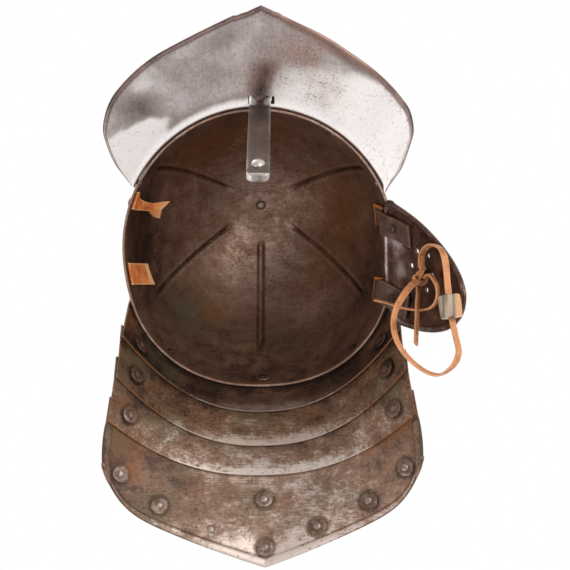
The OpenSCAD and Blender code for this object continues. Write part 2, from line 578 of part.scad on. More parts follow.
// The middle washers bridge the lame's fold.
function edge_gap(q) = q[0] == 0 ? 1.5 : 0.75;
module edge_axis(q) along(lame_in(4, q[1], q[0]), lame_n(4, q[1], q[0])) children();
module edge_rivets() color(steel) skew() for (q = edge_fix) edge_axis(q) {
  inner = q[2] * (washer_t + edge_gap(q)) + 0.25;
  translate([0, 0, lame_t + 0.25]) dome(head_d - 1, 2);
  translate([0, 0, -inner - 0.4]) cylinder(d = rivet_d, h = inner + lame_t + 1.2, $fn = 24);
  translate([0, 0, -inner]) mirror([0, 0, 1]) dome(6, 1.3);
}
module edge_washers() color(steel) skew() for (q = edge_fix) if (q[2] > 0) edge_axis(q)
  translate([0, 0, -washer_t - edge_gap(q)]) difference() {
    cylinder(d = washer_d, h = washer_t, $fn = 8);
    rivet_bore();
  }

// Straps inside the skull: y at the rim, lean backwards per millimetre of height, side.
strap_set = [[-22, 0.16], [31.5, 0.24]];
stub_set = [[-37.9, 0.29], [18.5, 0.29]];
function full_at(r) = let (n = mix(2, fullness, smooth(0, 0.5, r)))
  mix(2, fullness, smooth(0, 0.5, pow(max(r, 0.001), n / 2)));
function wall_x(y, z, off) = let (s = sin(t_of(z, in_h)), a = in_a * s - off, b = in_b * s - off,
  yy = y - crown_back * (1 - s * s), n = yy > 0 ? full_at(yy / b) : 2)
  a * pow(max(0, 1 - pow(abs(yy) / b, n)), 1 / n);
// A whole strap leaves the wall below lean_from and leans in towards the hinge line.
lean_from = 16;
function strap_pt(q, s, z, v, off) = let (y = q[0] + q[1] * z + v * strap_w / 2,
  lean = s > 0 ? (tuck - 3.3) * (1 - smooth(-1.5, lean_from, z)) : 0)
  [s * (wall_x(y, max(z, 0), off) - lean), y, z];
lay = 0.5;
module strap_strip(q, s, z0, z1, cut = 0) {
  a = strip_face(q, s, z0, z1, cut, strap_t + lay);
  b = strip_face(q, s, z0, z1, cut, lay);
  if (s > 0) plate(b, a); else plate(a, b);
}
// The upper end is cut slanting when cut isn't 0.
function strip_face(q, s, z0, z1, cut, off) = [for (k = steps(12)) [for (v = [-1, -0.5, 0, 0.5, 1])
  strap_pt(q, s, mix(z0, z1 + cut * v, k), v, off)]];
strap_fix = [[0, 1, strap_rivet_z], [1, 1, strap_rivet_z - 10]];
stub_fix = [[0, -1, 24], [1, -1, 26]];
function strap_q(f) = (f[1] > 0 ? strap_set : stub_set)[f[0]];
function strap_fix_n(f) = let (q = strap_q(f), e = 1)
  unit(f[1] * cross(strap_pt(q, f[1], f[2], 0.1, 0) - strap_pt(q, f[1], f[2], -0.1, 0),
    strap_pt(q, f[1], f[2] + e, 0, 0) - strap_pt(q, f[1], f[2] - e, 0, 0)));
module strap_axis(f) along(strap_pt(strap_q(f), f[1], f[2], 0, 0), strap_fix_n(f)) children();
module strap_rivet(f) strap_axis(f) {
  translate([0, 0, wall + 0.1]) dome(head_d, 2.2);
  translate([0, 0, -strap_t - 1]) cylinder(d = rivet_d, h = strap_t + wall + 1.5, $fn = 24);
  translate([0, 0, -strap_t - 0.75]) mirror([0, 0, 1]) dome(6.4, 1.1);
}
module strap_hole(f) strap_axis(f) rivet_bore();
module strap_skull_front() color(brown_leather) difference() {
  strap_strip(strap_set[0], 1, -1.5, strap_up);
  strap_hole(strap_fix[0]);
}
module strap_skull_rear() color(brown_leather) difference() {
  strap_strip(strap_set[1], 1, -1.5, strap_up_rear, -6);
  strap_hole(strap_fix[1]);
}
module strap_skull_rivets() color(dark) for (f = strap_fix) strap_rivet(f);
// The right-hand straps are torn off and only their riveted ends are left.
module stub_front() color(tan_leather) difference() {
  plate([for (r = steps(14)) [for (v = torn_cols) torn_pt(r, v, strap_t + lay)]],
    [for (r = steps(14)) [for (v = torn_cols) torn_pt(r, v, lay)]]);
  strap_hole(stub_fix[0]);
}
// The front one tears from its upper edge down to a neck, then forks into two curling tongues.
torn_cols = [-1, -0.6, -0.25, 0, 0.25, 0.6, 1];
function torn_pt(r, v, off) = let (
  upper = mix(-7.3, -0.4, smooth(0, 0.7, r)) - 2 * smooth(0.75, 1, r),
  lower = 5.9 + 5.3 * smooth(0.72, 1, r), y = mix(upper, lower, (v + 1) / 2),
  z = mix(9, 62 + (v < 0 ? 8 : 5) * abs(v), r),
  curl = 6 * smooth(0.36, 0.75, r) + (5.25 - 2.25 * v) * pow(max(0, r - 0.7) / 0.3, 1.5))
  strap_pt(stub_set[0], -1, z, 2 * y / strap_w, off + curl);
module stub_rear() color(tan_leather) difference() {
  strap_strip(stub_set[1], -1, 7, 58.5, 1);
  strap_hole(stub_fix[1]);
}
module stub_rivets() color(dark) for (f = stub_fix) strap_rivet(f);

// Cheek-piece, in its own frame: x outward through the plate, y back, -z down the plate.
hinge_x = in_a - tuck;
hinge_z = -3;
module cheek_frame() translate([hinge_x, 0, hinge_z]) rotate([0, -cheek_splay, 0]) children();
cheek_y = 4.5;
wide_front = 14;
wide_rear = 28;
ear_y = 4;
ear_s = 48;
plate_top = 2;
deep_s = 52;
// The outline: its front half has a square upper corner and a straight edge, its rear half is round.
function cheek_rim(g) = let (c = cos(g), s = sin(g), front = c < 0, wide = front ? wide_front : wide_rear)
  s >= 0 ? [cheek_y + cheek_w / 2 * c, wide + (cheek_l - wide) * pow(s, 2 / (front ? 0.9 : 1.8))]
    : [cheek_y + cheek_w / 2 * (front ? pow_s(c, 0.42) : c),
      wide - (wide - plate_top) * pow(-s, front ? 0.5 : 1)];
function dish(y, s) = let (a = (y - cheek_y) / (cheek_w / 2),
  b = s < deep_s ? (deep_s - s) / 51 : (s - deep_s) / (cheek_l * 0.58))
  2.2 + cheek_dish * max(0, 1 - 0.6 * a * a - (s < deep_s ? 0.95 : 0.75) * b * b);
function cheek_pt(g, k, off) = let (e = cheek_rim(g), r = ear_d / 2,
  p = mix([ear_y + r * cos(g), ear_s + r * sin(g)], e, k)) [dish(p[0], p[1]) + off, p[0], -p[1]];
cheek_rows = [0, 0.12, 0.3, 0.48, 0.66, 0.82, 0.9];
cheek_hem = [0.905, 0.925, 0.955, 0.985, 1];
module cheek_plate() color(dark) cheek_frame() difference() {
  g = [for (i = [0:47]) i * 7.5];
  e = (hem_t - cheek_t) / 2;
  plate(concat([for (k = cheek_rows) [for (a = g) cheek_pt(a, k, 0)]],
      [for (i = [0:4]) [for (a = g) cheek_pt(a, cheek_hem[i], -e * hem_rise[i])]]),
    concat([for (k = cheek_rows) [for (a = g) cheek_pt(a, k, cheek_t)]],
      [for (i = [0:4]) [for (a = g) cheek_pt(a, cheek_hem[i], cheek_t + e * hem_rise[i])]]), true);
  for (i = [0:ear_holes - 1]) let (a = 360 / ear_holes * (i + 0.5))
    translate([0, ear_y + ear_r * cos(a), -ear_s - ear_r * sin(a)]) rotate([0, 90, 0])
      cylinder(d = ear_d, h = 40, $fn = 24);
  for (f = cheek_fix) cheek_axis(f) rivet_bore();
}
// Straps inside the cheek-piece: y at the hinge and lean backwards per millimetre down.
cheek_strap = [[-23, 0.12], [29, 0.18]];
function leaf_pt(q, s, v, off) = let (y = q[0] + q[1] * s + v * strap_w / 2)
  [(s < 8 ? mix(0, dish(y, 8), smooth(0, 8, s)) : dish(y, s))
    - (hem_t - cheek_t) / 2 * (1 - smooth(12, 18, s)) + off, y, -s];
module leaf(q, s0, s1) {
  plate(leaf_face(q, s0, s1, -strap_t - 0.3), leaf_face(q, s0, s1, -0.3));
}
function leaf_face(q, s0, s1, off) = [for (k = steps(9)) [for (v = [-1, -0.5, 0, 0.5, 1])
  leaf_pt(q, mix(s0, s1, k), v, off)]];
cheek_fix = [[0, 17], [1, 17]];
module cheek_axis(f) translate(leaf_pt(cheek_strap[f[0]], f[1], 0, 0)) rotate([0, 90, 0]) children();
module cheek_rivet(f) cheek_axis(f) {
  translate([0, 0, cheek_t + 1]) dome(head_d, 2.2);
  translate([0, 0, -strap_t - 2.1]) cylinder(d = rivet_d, h = strap_t + cheek_t + 3.5, $fn = 24);
  translate([0, 0, -strap_t - 1.8]) mirror([0, 0, 1]) dome(6.4, 1.1);
}
module strap_cheek_front() color(brown_leather) cheek_frame() difference() {
  leaf(cheek_strap[0], 1, strap_down);
  cheek_axis(cheek_fix[0]) rivet_bore();
}
module strap_cheek_rear() color(brown_leather) cheek_frame() difference() {
  leaf(cheek_strap[1], 1, strap_down);
  cheek_axis(cheek_fix[1]) rivet_bore();
}
module strap_cheek_rivets() color(dark) cheek_frame() for (f = cheek_fix) cheek_rivet(f);

// Thong: one loop that hangs from a knot inside the cheek-piece, and two cut ends.
// Every point is measured from the knot, which hangs just below the middle ear hole.
knot_in = 6;
knot_back = 2.9;
knot_down = 6.8;
knot_s = ear_s + knot_down;
knot = [hinge_x, 0, hinge_z] + turn([dish(ear_y, knot_s) - knot_in, ear_y + knot_back, -knot_s]);
function turn(p) = [p[0] * cos(cheek_splay) - p[2] * sin(cheek_splay), p[1],
  p[0] * sin(cheek_splay) + p[2] * cos(cheek_splay)];
knot_r = 6.8;
loop_far = [unit([0.4, -1, -0.3]) * knot_r, [0.6, -12, -3.8], [1.6, -22, -7.8], [6.5, -30.5, -21.3],
  [12.2, -32.5, -40], [14.6, -26.8, -50.9], [15.7, -14, -61.3], [16.7, -4.5, -66.4], [18.2, 7.5, -70.8],
  [20.8, 19.5, -79.5],
  [22.2, 27.5, -92.1], [17.9, 33.6, -102.1], [9.1, 38.2, -108.1], [0.8, 37.2, -108.1], [-8.3, 33, -102.1],
  [-16.3, 27, -92.1], [-21, 20.5, -81.1], [-22.2, 13.2, -68.1], [-19.7, 6.3, -56], [-13.3, 1.5, -38],
  [-7, 0.5, -18], unit([-0.35, 0.1, -1]) * knot_r];
end_a = [unit([-0.3, 0.9, -0.7]) * knot_r, [-1.6, 9.1, -10.5], [-2.6, 14, -18.5], [-3.4, 20.1, -29.5],
  [-4.3, 27, -41.5], [-5.2, 34.1, -52.5]];
end_b = [unit([0.75, -0.35, -1]) * knot_r, [6.2, -6.2, -14], [8.6, -5.6, -25], [10.4, -3, -35],
  [10.2, 4.5, -39], [6.6, 13.7, -30.4], [-1.4, 20.8, -12.6], [-13, 25.2, 8.5], [-23, 26.8, 26],
  [-30, 28.4, 37]];
function from_knot(line) = [for (q = line) knot + q];
module thong_loop() color(tan_leather) {
  p = from_knot(curve(loop_far, 4));
  side = [for (k = steps(len(p) - 1)) unit(mix([0.9, 0.2, 0.2], [0.6, 0.1, 0.8], smooth(0.3, 0.55, k)))];
  ribbon(p, side, thong_w, thong_t);
}
module thong_ends() color(tan_leather) {
  ribbon(from_knot(curve(end_a, 4)), [0.34, 0.81, 0.48], thong_w, thong_t);
  ribbon(from_knot(curve(end_b, 4)), [0.45, 0.2, 0.87], thong_w, thong_t);
}
// The knot: a tight core with two wraps that stand out of it.
module thong_knot() color(tan_leather) translate(knot) {
  sphere(d = 9.6, $fn = 32);
  rotate([24, 38, 0]) rotate_extrude($fn = 32) translate([3.5, 0]) circle(d = 4.1, $fn = 20);
  rotate([-60, 20, 30]) rotate_extrude($fn = 32) translate([3.4, 0]) circle(d = 4.1, $fn = 20);
}

toggle_line = from_knot(curve(loop_far, 4));
toggle_i = 30;
toggle_bore = norm([thong_w, thong_t]) + 0.9;
toggle_dir = unit(toggle_line[toggle_i + 4] - toggle_line[toggle_i - 4]);
module thong_toggle() color(horn) along(toggle_line[toggle_i], toggle_dir)
  translate([0, 0, -toggle_l / 2]) difference() {
    cylinder(d1 = toggle_d, d2 = toggle_d - 1, h = toggle_l, $fn = 40);
    translate([0, 0, -1]) cylinder(d = toggle_bore, h = toggle_l + 2, $fn = 32);
  }

skull();
crown_rosette();
crown_finial();
peak();
peak_rivets();
nasal_bracket();
bracket_rivets();
nasal_bar();
nasal_knob();
set_screw();
tail_lame_1();
lame_1_rivets();
lame_1_washer();
tail_lame_2();
pivot_rivets_2();
pivot_washers_2();
tail_lame_3();
pivot_rivets_3();
pivot_washers_3();
tail_lame_4();
pivot_rivets_4();
pivot_washers_4();
edge_rivets();
edge_washers();
strap_skull_front();
strap_skull_rear();
strap_skull_rivets();
cheek_plate();
strap_cheek_front();
strap_cheek_rear();
strap_cheek_rivets();
stub_front();
stub_rear();
stub_rivets();
thong_loop();
thong_knot();
thong_ends();
thong_toggle();
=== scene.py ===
import math

import bmesh
import bpy
import numpy as np
from mathutils import Matrix, Vector


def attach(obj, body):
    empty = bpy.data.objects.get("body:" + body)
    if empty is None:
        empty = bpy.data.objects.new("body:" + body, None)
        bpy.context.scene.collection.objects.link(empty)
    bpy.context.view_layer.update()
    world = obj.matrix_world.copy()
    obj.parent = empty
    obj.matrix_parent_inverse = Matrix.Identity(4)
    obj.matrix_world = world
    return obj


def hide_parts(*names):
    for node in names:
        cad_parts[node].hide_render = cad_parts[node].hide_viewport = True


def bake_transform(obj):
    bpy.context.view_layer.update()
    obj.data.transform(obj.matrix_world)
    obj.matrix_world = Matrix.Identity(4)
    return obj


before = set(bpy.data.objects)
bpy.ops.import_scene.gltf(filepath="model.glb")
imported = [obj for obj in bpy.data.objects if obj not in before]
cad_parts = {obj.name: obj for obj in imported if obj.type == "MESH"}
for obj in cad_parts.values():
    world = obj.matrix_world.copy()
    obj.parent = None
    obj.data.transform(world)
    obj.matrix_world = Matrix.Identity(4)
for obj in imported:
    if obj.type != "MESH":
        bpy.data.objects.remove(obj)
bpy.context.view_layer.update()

# Camera and studio
# The helmet is seen from in front and below, looking up into the skull. A long lens on a
# square frame, with white all round it and soft lamps on the camera's side and above.
TILT, EYE, TARGET = math.radians(16.3), (0.0196, -0.4520, -1.6390), Vector((0.01, 0.03, -0.02))
FLOOR_Z, FLOOR_HALF = -1.78, 25
lens = bpy.data.cameras.new("camera")
lens.lens, lens.sensor_width, lens.clip_end = 142.96, 36.0, 60.0
lens.dof.use_dof = False
camera = bpy.data.objects.new("camera", lens)
camera.matrix_world = Matrix((
    (1, 0, 0, EYE[0]),
    (0, -math.cos(TILT), -math.sin(TILT), EYE[1]),
    (0, math.sin(TILT), -math.cos(TILT), EYE[2]),
    (0, 0, 0, 1)))
bpy.context.collection.objects.link(camera)
bpy.context.scene.camera = camera
bpy.context.scene.view_settings.view_transform = "Standard"


def tone(code):
    """An sRGB hex colour as linear RGBA: below 0.04045 divided by 12.92, above it a 2.4 power."""
    c = np.array([int(code[i:i + 2], 16) for i in (1, 3, 5)]) / 255
    c = np.where(c < 0.04045, c / 12.92, ((c + 0.055) / 1.055) ** 2.4)
    return (*map(float, c), 1.0)


def add(tree, kind, inputs=(), out=0, **settings):
    """Adds one node, sets its properties, links or sets each input, given as (socket, value), and gives back
    its output out."""
    n = tree.nodes.new("ShaderNode" + kind)
    for key, value in settings.items():
        setattr(n, key, value)
    for key, value in inputs:
        if isinstance(value, bpy.types.NodeSocket):
            tree.links.new(value, n.inputs[key])
        else:
            n.inputs[key].default_value = value
    return n.outputs[out] if n.outputs else None


world = bpy.data.worlds.new("studio")
world.use_nodes = True
sky = world.node_tree
sky.nodes.clear()
seen = add(sky, "LightPath", out="Is Camera Ray")
for kind in ("Is Glossy Ray", "Is Transmission Ray"):
    ray = add(sky, "LightPath", out=kind)
    seen = add(sky, "Math", [(0, seen), (1, ray)], operation="MAXIMUM")
# what is seen is white, and what lights the helmet is a little less
level = add(sky, "MapRange", [(0, seen), (3, 0.62), (4, 1.0)])
backdrop = add(sky, "Background", [("Color", (1, 1, 1, 1)), ("Strength", level)])
add(sky, "OutputWorld", [("Surface", backdrop)])
bpy.context.scene.world = world

for name, place, size, power in (
        ("lamp_front", (0.9, -1.0, -1.15), 0.9, 16.0), ("lamp_left", (-1.1, 0.5, -1.0), 1.0, 7.0),
        ("lamp_top", (-0.9, -1.0, 1.5), 1.2, 16.0), ("lamp_back", (1.1, 1.3, 1.2), 1.2, 12.0)):
    data = bpy.data.lights.new(name, "AREA")
    data.size, data.energy = size, power
    lamp = bpy.data.objects.new(name, data)
    lamp.location = place
    lamp.rotation_euler = (Vector(place) - TARGET).to_track_quat("Z", "Y").to_euler()
    bpy.context.collection.objects.link(lamp)

floor_mesh = bpy.data.meshes.new("floor")
corners = [(x * FLOOR_HALF, y * FLOOR_HALF, FLOOR_Z) for x, y in ((-1, -1), (1, -1), (1, 1), (-1, 1))]
floor_mesh.from_pydata(corners, [], [(0, 1, 2, 3)])
floor = bpy.data.objects.new("floor", floor_mesh)
paper = bpy.data.materials.new("white paper")
paper.use_nodes = True
for key, value in (("Base Color", tone("#fbfbfb")), ("Roughness", 0.9)):
    paper.node_tree.nodes["Principled BSDF"].inputs[key].default_value = value
floor_mesh.materials.append(paper)
bpy.context.collection.objects.link(floor)

# Skull
# One piece of raised wrought iron, 1.8 mm thick, with six flutes pressed outwards from the
# crown. Inside it kept the brown patina of old oil and soot, lighter round the crown, with painted
# shade in its flutes.
# half width, half length, height and wall; how far back the crown stands, and the rear's fullness
SKULL_A, SKULL_B, SKULL_H, WALL = 102.6, 108.3, 150.0, 1.8
CREST, FULL = 3.0, 2.25
# flutes: degrees apart, half width and rise; height of the beating; degrees round a plate's edge
FLUTE_EVERY, FLUTE_HALF, FLUTE_RISE, BEATEN = 60, 3.1, 2.0, 0.35
ROUND = np.radians([30, 60, 90, 120, 150])


def vec(*parts):
    """Arrays of x, y and z, spread to one shape, as points."""
    return np.stack(np.broadcast_arrays(*[np.asarray(p, float) for p in parts]), -1)


def unit(v):
    """Vectors divided by their own length."""
    return v / np.maximum(np.linalg.norm(v, axis=-1, keepdims=True), 1e-9)


def mix(a, b, k):
    """The value k of the way from a to b."""
    return a + (b - a) * k


def smooth(a, b, x):
    """0 at a and before it, 1 at b and beyond it, and 3k^2 - 2k^3 between."""
    k = np.clip((x - a) / (b - a), 0, 1)
    return k * k * (3 - 2 * k)


def power(x, n):
    """|x| to the power n with the sign of x."""
    return np.sign(x) * np.abs(x) ** n


def bowl(ang, t):
    """Skull's outside: an ellipsoid, fuller at the rear, whose crown stands CREST mm back. ang runs from the
    rear towards the wearer's left, t from the crown to the rim, both in degrees."""
    s, c = np.sin(np.radians(ang)), np.cos(np.radians(ang))
    n = mix(2, FULL, smooth(0, 0.5, c))
    st, ct = np.sin(np.radians(t)), np.cos(np.radians(t))
    return vec(SKULL_A * st * power(s, 2 / n), SKULL_B * st * power(c, 2 / n) + CREST * ct ** 2, SKULL_H * ct)


def bowl_out(ang, t):
    """Outward direction of the bowl: the cross product of its two tangents."""
    return unit(np.cross(bowl(ang + 0.5, t) - bowl(ang - 0.5, t), bowl(ang, t + 0.5) - bowl(ang, t - 0.5)))


def beaten(p, size, seed):
    """Unevenness of beaten plate from -1 to 1: ten plane waves about size mm long in seeded directions."""
    rng = np.random.default_rng(seed)
    waves = zip(unit(rng.normal(size=(10, 3))), rng.uniform(0, 6.3, 10), rng.uniform(0.7, 1.6, 10))
    return sum(np.sin(p @ way * 2 * np.pi / (size * length) + phase) for way, phase, length in waves) / 4.5


def patches(p, *rows):
    """Soft round patches added up, each (strength, place, size): strength times e to the power of minus the
    squared distance over the squared size."""
    return sum(k * np.exp(-np.sum((p - np.array(at, float)) ** 2, -1) / size ** 2) for k, *at, size in rows)


def put(name, points, faces, look, layers=None, sharp=40):
    """Makes a piece from points in mm and arrays of faces. Turns them all if the enclosed volume, a sum of
    dot and cross products over their triangles, comes out negative."""
    points = np.asarray(points, float).reshape(-1, 3)
    volume = sum(np.einsum("ij,ij->", points[f[:, 0]], np.cross(points[f[:, i]], points[f[:, i + 1]]))
                 for f in faces for i in range(1, f.shape[1] - 1))
    rows = [row for f in faces for row in f[:, ::-1 if volume < 0 else 1].tolist()]
    me = bpy.data.meshes.new(name)
    me.from_pydata((points / 1000).tolist(), [], rows)
    me.validate()
    for key, values in (layers or {}).items():
        me.attributes.new(key, "FLOAT", "POINT").data.foreach_set("value", np.asarray(values, float).ravel())
    me.shade_smooth()
    me.set_sharp_from_angle(angle=math.radians(sharp))
    me.materials.append(look)
    piece = bpy.data.objects.new(name, me)
    bpy.context.collection.objects.link(piece)
    return piece


def lattice(n, m, wrap_n=False, wrap_m=False):
    """Quads of an n by m grid of points, closed on itself in either direction."""
    i, j = np.meshgrid(np.arange(n if wrap_n else n - 1), np.arange(m if wrap_m else m - 1), indexing="ij")
    i2, j2 = (i + 1) % n, (j + 1) % m
    return np.stack([i * m + j, i * m + j2, i2 * m + j2, i2 * m + j], -1)


def plate(name, face, out, low, high, look, ring=False, gap=None, layers=None, nose=0.6):
    """A plate with the surface face moved by low and by high along out as its two sides. A half round,
    nose times as long as high, joins them past the first and last row. gap (row, row, column, column) is
    a hole."""
    n, m = face.shape[:2]
    low, high = np.broadcast_to(low, (n, m)), np.broadcast_to(high, (n, m))
    inner, outer = face + out * low[..., None], face + out * high[..., None]

    def turn(row, other):
        """Half round past a row, away from the other one: minus the cosine along out, the sine ahead."""
        middle, half = (inner[row] + outer[row]) / 2, ((high - low) / 2)[row][:, None]
        ahead = unit(middle - (inner[other] + outer[other]) / 2)
        c, s = np.cos(ROUND)[:, None, None], np.sin(ROUND)[:, None, None]
        return middle + half * (nose * s * ahead - c * out[row])

    points = np.concatenate([inner, turn(-1, -2), outer[::-1], turn(0, 1)[::-1]])
    k, q = len(points), len(ROUND)
    opposite = 2 * n + q - 1 - np.arange(n)

    def wall(r, c, r2, c2, flip):
        """Quads from the inner side to the outer one along the points from (r, c) to (r2, c2)."""
        sides = (r * m + c, r2 * m + c2, opposite[r2] * m + c2, opposite[r] * m + c)
        return np.stack(np.broadcast_arrays(*sides), -1)[:, ::flip]

    keep, faces = np.ones((k, m if ring else m - 1), bool), []
    if gap:
        r0, r1, c0, c1 = gap
        keep[r0:r1, c0:c1] = keep[opposite[r1]:opposite[r0], c0:c1] = False
        r, c = np.arange(r0, r1), np.arange(c0, c1)
        faces += [wall(r0, c, r0, c + 1, 1), wall(r1, c, r1, c + 1, -1),
                  wall(r, c0, r + 1, c0, -1), wall(r, c1, r + 1, c1, 1)]
    if not ring:
        r, ends = np.arange(n - 1), (np.arange(n - 1, n + q + 1), np.r_[np.arange(k - q - 1, k), 0])
        for j, flip in ((0, 1), (m - 1, -1)):
            faces += [wall(r, j, r + 1, j, flip)] + [(e * m + j)[None, ::flip] for e in ends]
    spread = {}
    for key, v in (layers or {}).items():
        v = np.broadcast_to(v, (n, m))
        spread[key] = np.concatenate([v, np.repeat(v[-1:], q, 0), v[::-1], np.repeat(v[:1], q, 0)])
    return put(name, points, [lattice(k, m, True, ring)[keep]] + faces, look, spread)


def blank(name):
    """A new material and its emptied node tree."""
    look = bpy.data.materials.new(name)
    look.use_nodes = True
    look.node_tree.nodes.clear()
    return look, look.node_tree


def cover(tree, colour, height, strength, depth, *more):
    """Ends a material: height becomes a bump, strength times depth metres deep, on the coloured surface."""
    relief = add(tree, "Bump", [("Height", height), ("Strength", strength), ("Distance", depth)])
    shader = add(tree, "BsdfPrincipled", [("Base Color", colour), ("Normal", relief), *more])
    add(tree, "OutputMaterial", [("Surface", shader)])


def iron(name, dark, brown, steel, rust, metal=0.85, rough=(0.34, 0.6), mottle=1.0, scratch=0.0,
         rust_share=0.3, pits=0.5, bump=0.25):
    """Worn wrought iron or steel: bare metal shows where the layer "wear", 0 to 1, and three sizes of noise
    add up to it, brown patina lies between, and rust sits in patches and pits. "wear" holds rubbed wear
    together with painted shade and painted highlights. The layers "warm" and "olive" turn the patina
    orange-brown or olive, and "pale" takes the metal's mirror away where light catches an edge. scratch adds
    fine streaks that run across the helmet."""
    look, t = blank(name)
    at = add(t, "TexCoord", out="Object")
    wear_and_painted_light, warm, olive, pale = (add(t, "Attribute", out="Fac", attribute_name=key)
                               for key in ("wear_and_painted_light", "warm", "olive", "pale"))
    # patches of 70 mm, blotches of 14 mm, speckle of 2.5 mm and grit of 0.9 mm
    broad, blotch, speckle, grit = (
        add(t, "TexNoise", [("Vector", at), ("Scale", scale), ("Detail", detail), ("Roughness", share)])
        for scale, detail, share in ((14, 4, 0.6), (70, 6, 0.68), (400, 5, 0.75), (1100, 3, 0.7)))
    across = add(t, "Mapping", [("Vector", at), ("Scale", (70, 900, 700))])
    streak = add(t, "TexNoise", [("Vector", across), ("Scale", 1), ("Detail", 4), ("Roughness", 0.7)])
    worn = wear_and_painted_light
    for part, share in ((broad, 1.1), (blotch, 2 * mottle), (speckle, mottle), (streak, scratch)):
        worn = add(t, "Math", [(0, part), (1, share), (2, worn)], operation="MULTIPLY_ADD")
    # steady tone however strong the mottling and the streaks are
    less = 1.5 * (1 - mottle) - 0.5 * scratch
    warm, olive = (add(t, "Math", [(0, blotch), (1, layer)], operation="MULTIPLY") for layer in (warm, olive))
    rusty = add(t, "Math", [(0, blotch), (1, broad)], operation="MULTIPLY")
    rusty = add(t, "Math", [(0, grit), (1, 0.3), (2, rusty)], operation="MULTIPLY_ADD")
    pit = add(t, "TexVoronoi", [("Vector", at), ("Scale", 260)], out="Distance")
    pit = add(t, "Math", [(0, pit), (1, blotch)], operation="MULTIPLY")
    soot, warm, olive, bare, rusty, pit = (
        add(t, "MapRange", [(0, part), (1, low), (2, high), (3, least), (4, most)],
            interpolation_type="SMOOTHSTEP")
        for part, low, high, least, most in (
            (worn, 1.5 - less, 2.25 - less, 0, 1), (warm, 0.2, 0.7, 0, 0.85), (olive, 0.2, 0.7, 0, 0.85),
            (worn, 2.15 - less, 3.05 - less, 0, 1), (rusty, 0.46, 0.56, 0, rust_share),
            (pit, 0.06, 0.13, pits, 0)))
    colour = tone(dark)
    for share, tint in ((soot, brown), (warm, "#8c5f3d"), (olive, "#675e48"), (bare, steel), (rusty, rust),
                        (pit, dark)):
        colour = add(t, "Mix", [(0, share), (6, colour), (7, tone(tint))], out=2, data_type="RGBA")
    dull = add(t, "MapRange", [(0, bare), (3, rough[1]), (4, rough[0])])
    dull = add(t, "Math", [(0, rusty), (1, 0.3), (2, dull)], operation="MULTIPLY_ADD")
    shine = add(t, "MapRange", [(0, rusty), (3, metal), (4, metal * 0.4)])
    shine = add(t, "Math", [(0, pale), (1, -0.8), (2, shine)], operation="MULTIPLY_ADD", use_clamp=True)
    height = add(t, "Math", [(0, speckle), (1, 0.5), (2, blotch)], operation="MULTIPLY_ADD")
    height = add(t, "Math", [(0, pit), (1, -0.6), (2, height)], operation="MULTIPLY_ADD")
    cover(t, colour, height, bump, 0.0006, ("Roughness", dull), ("Metallic", shine))
    return look


skull_look = iron("wrought iron, oiled brown inside", "#3f2d25", "#876856", "#c4aea0", "#8a5c3f", mottle=0.65,
                  scratch=0.8, rust_share=0.35)
# fine steps of half a degree across each flute, coarse ones between
ang = np.add.outer(np.arange(0, 360, FLUTE_EVERY), [*np.arange(-8, 8.01, 0.5), *np.arange(10, 51, 2.0)])
ang = np.unique(np.round(ang % 360, 3))[None]
t = np.concatenate([np.linspace(1.8, 12, 8), np.linspace(13, 70, 76), np.linspace(71, 90, 22)])[:, None]
surface, outward = bowl(ang, t), bowl_out(ang, np.minimum(t, 89.4))
# a flute is a squared cosine of the distance from its line, and runs from 14 to 68 degrees off the crown
off = np.radians(np.abs((ang + FLUTE_EVERY / 2) % FLUTE_EVERY - FLUTE_EVERY / 2))
off = SKULL_A * np.sin(np.radians(t)) * off
groove = (np.cos(np.pi / 2 * np.clip(off / FLUTE_HALF, 0, 1)) ** 2 * smooth(14, 19, t)
          * (1 - smooth(61, 68, t)))
rise = FLUTE_RISE * groove + BEATEN * beaten(surface, 55, 3) * smooth(1, 12, t) * (1 - smooth(82, 90, t))
# lighter round the crown and below it, darker towards the rim and on the wearer's right and low at the
# rear, painted shade in the flutes with a painted highlight beside them, and a painted highlight along the
# rim
rear = np.cos(np.radians(ang)) > 0.9
dark = np.where(rear, 3.2 * groove ** 1.5 * (1 - groove), groove ** 4)
wear_and_painted_light = 0.2 - 0.26 * smooth(25, 70, t) - 0.75 * dark + 0.4 * smooth(89.0, 89.6, t)
wear_and_painted_light = wear_and_painted_light + patches(surface, (0.34, 4, 45, 135, 30), (0.22, -6, 72, 111, 30), (0.2, -4, -12, 147, 34),
                      (-0.35, -93, 6, 55, 42), (-0.2, 0, 104, 35, 40), (0.14, 59, 64, 83, 26),
                      (0.32, 40, 75, 95, 28), (0.12, 64, 0, 115, 50))
# painted highlight along both sides of each flute
flute_edge_highlight = np.maximum(np.roll(groove, 4, 1), np.roll(groove, -4, 1)) * ~rear
wear_and_painted_light = wear_and_painted_light + 0.3 * np.clip(flute_edge_highlight - groove, 0, 1)
warm = 0.2 + patches(surface, (0.9, -48, -53, 107, 40), (1.0, 64, 0, 115, 50), (0.7, 0, -73, 106, 36),
                     (1.3, -39, 76, 89, 13), (0.6, 40, 60, 100, 30)) + 1.2 * smooth(87, 89, t)
olive = patches(surface, (1.2, -60, 67, 72, 38), (0.9, 20, 92, 70, 45), (0.7, 45, -45, 125, 36))
skull = plate("skull_shell", surface + outward * rise[..., None], outward, -WALL, 0, skull_look, ring=True,
              layers={"wear_and_painted_light": wear_and_painted_light, "warm": warm * (1 - smooth(89, 89.6, t)), "olive": olive,
                      "pale": 0.35 * smooth(89, 89.8, t)})
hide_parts("skull")
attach(skull, "skull_body")

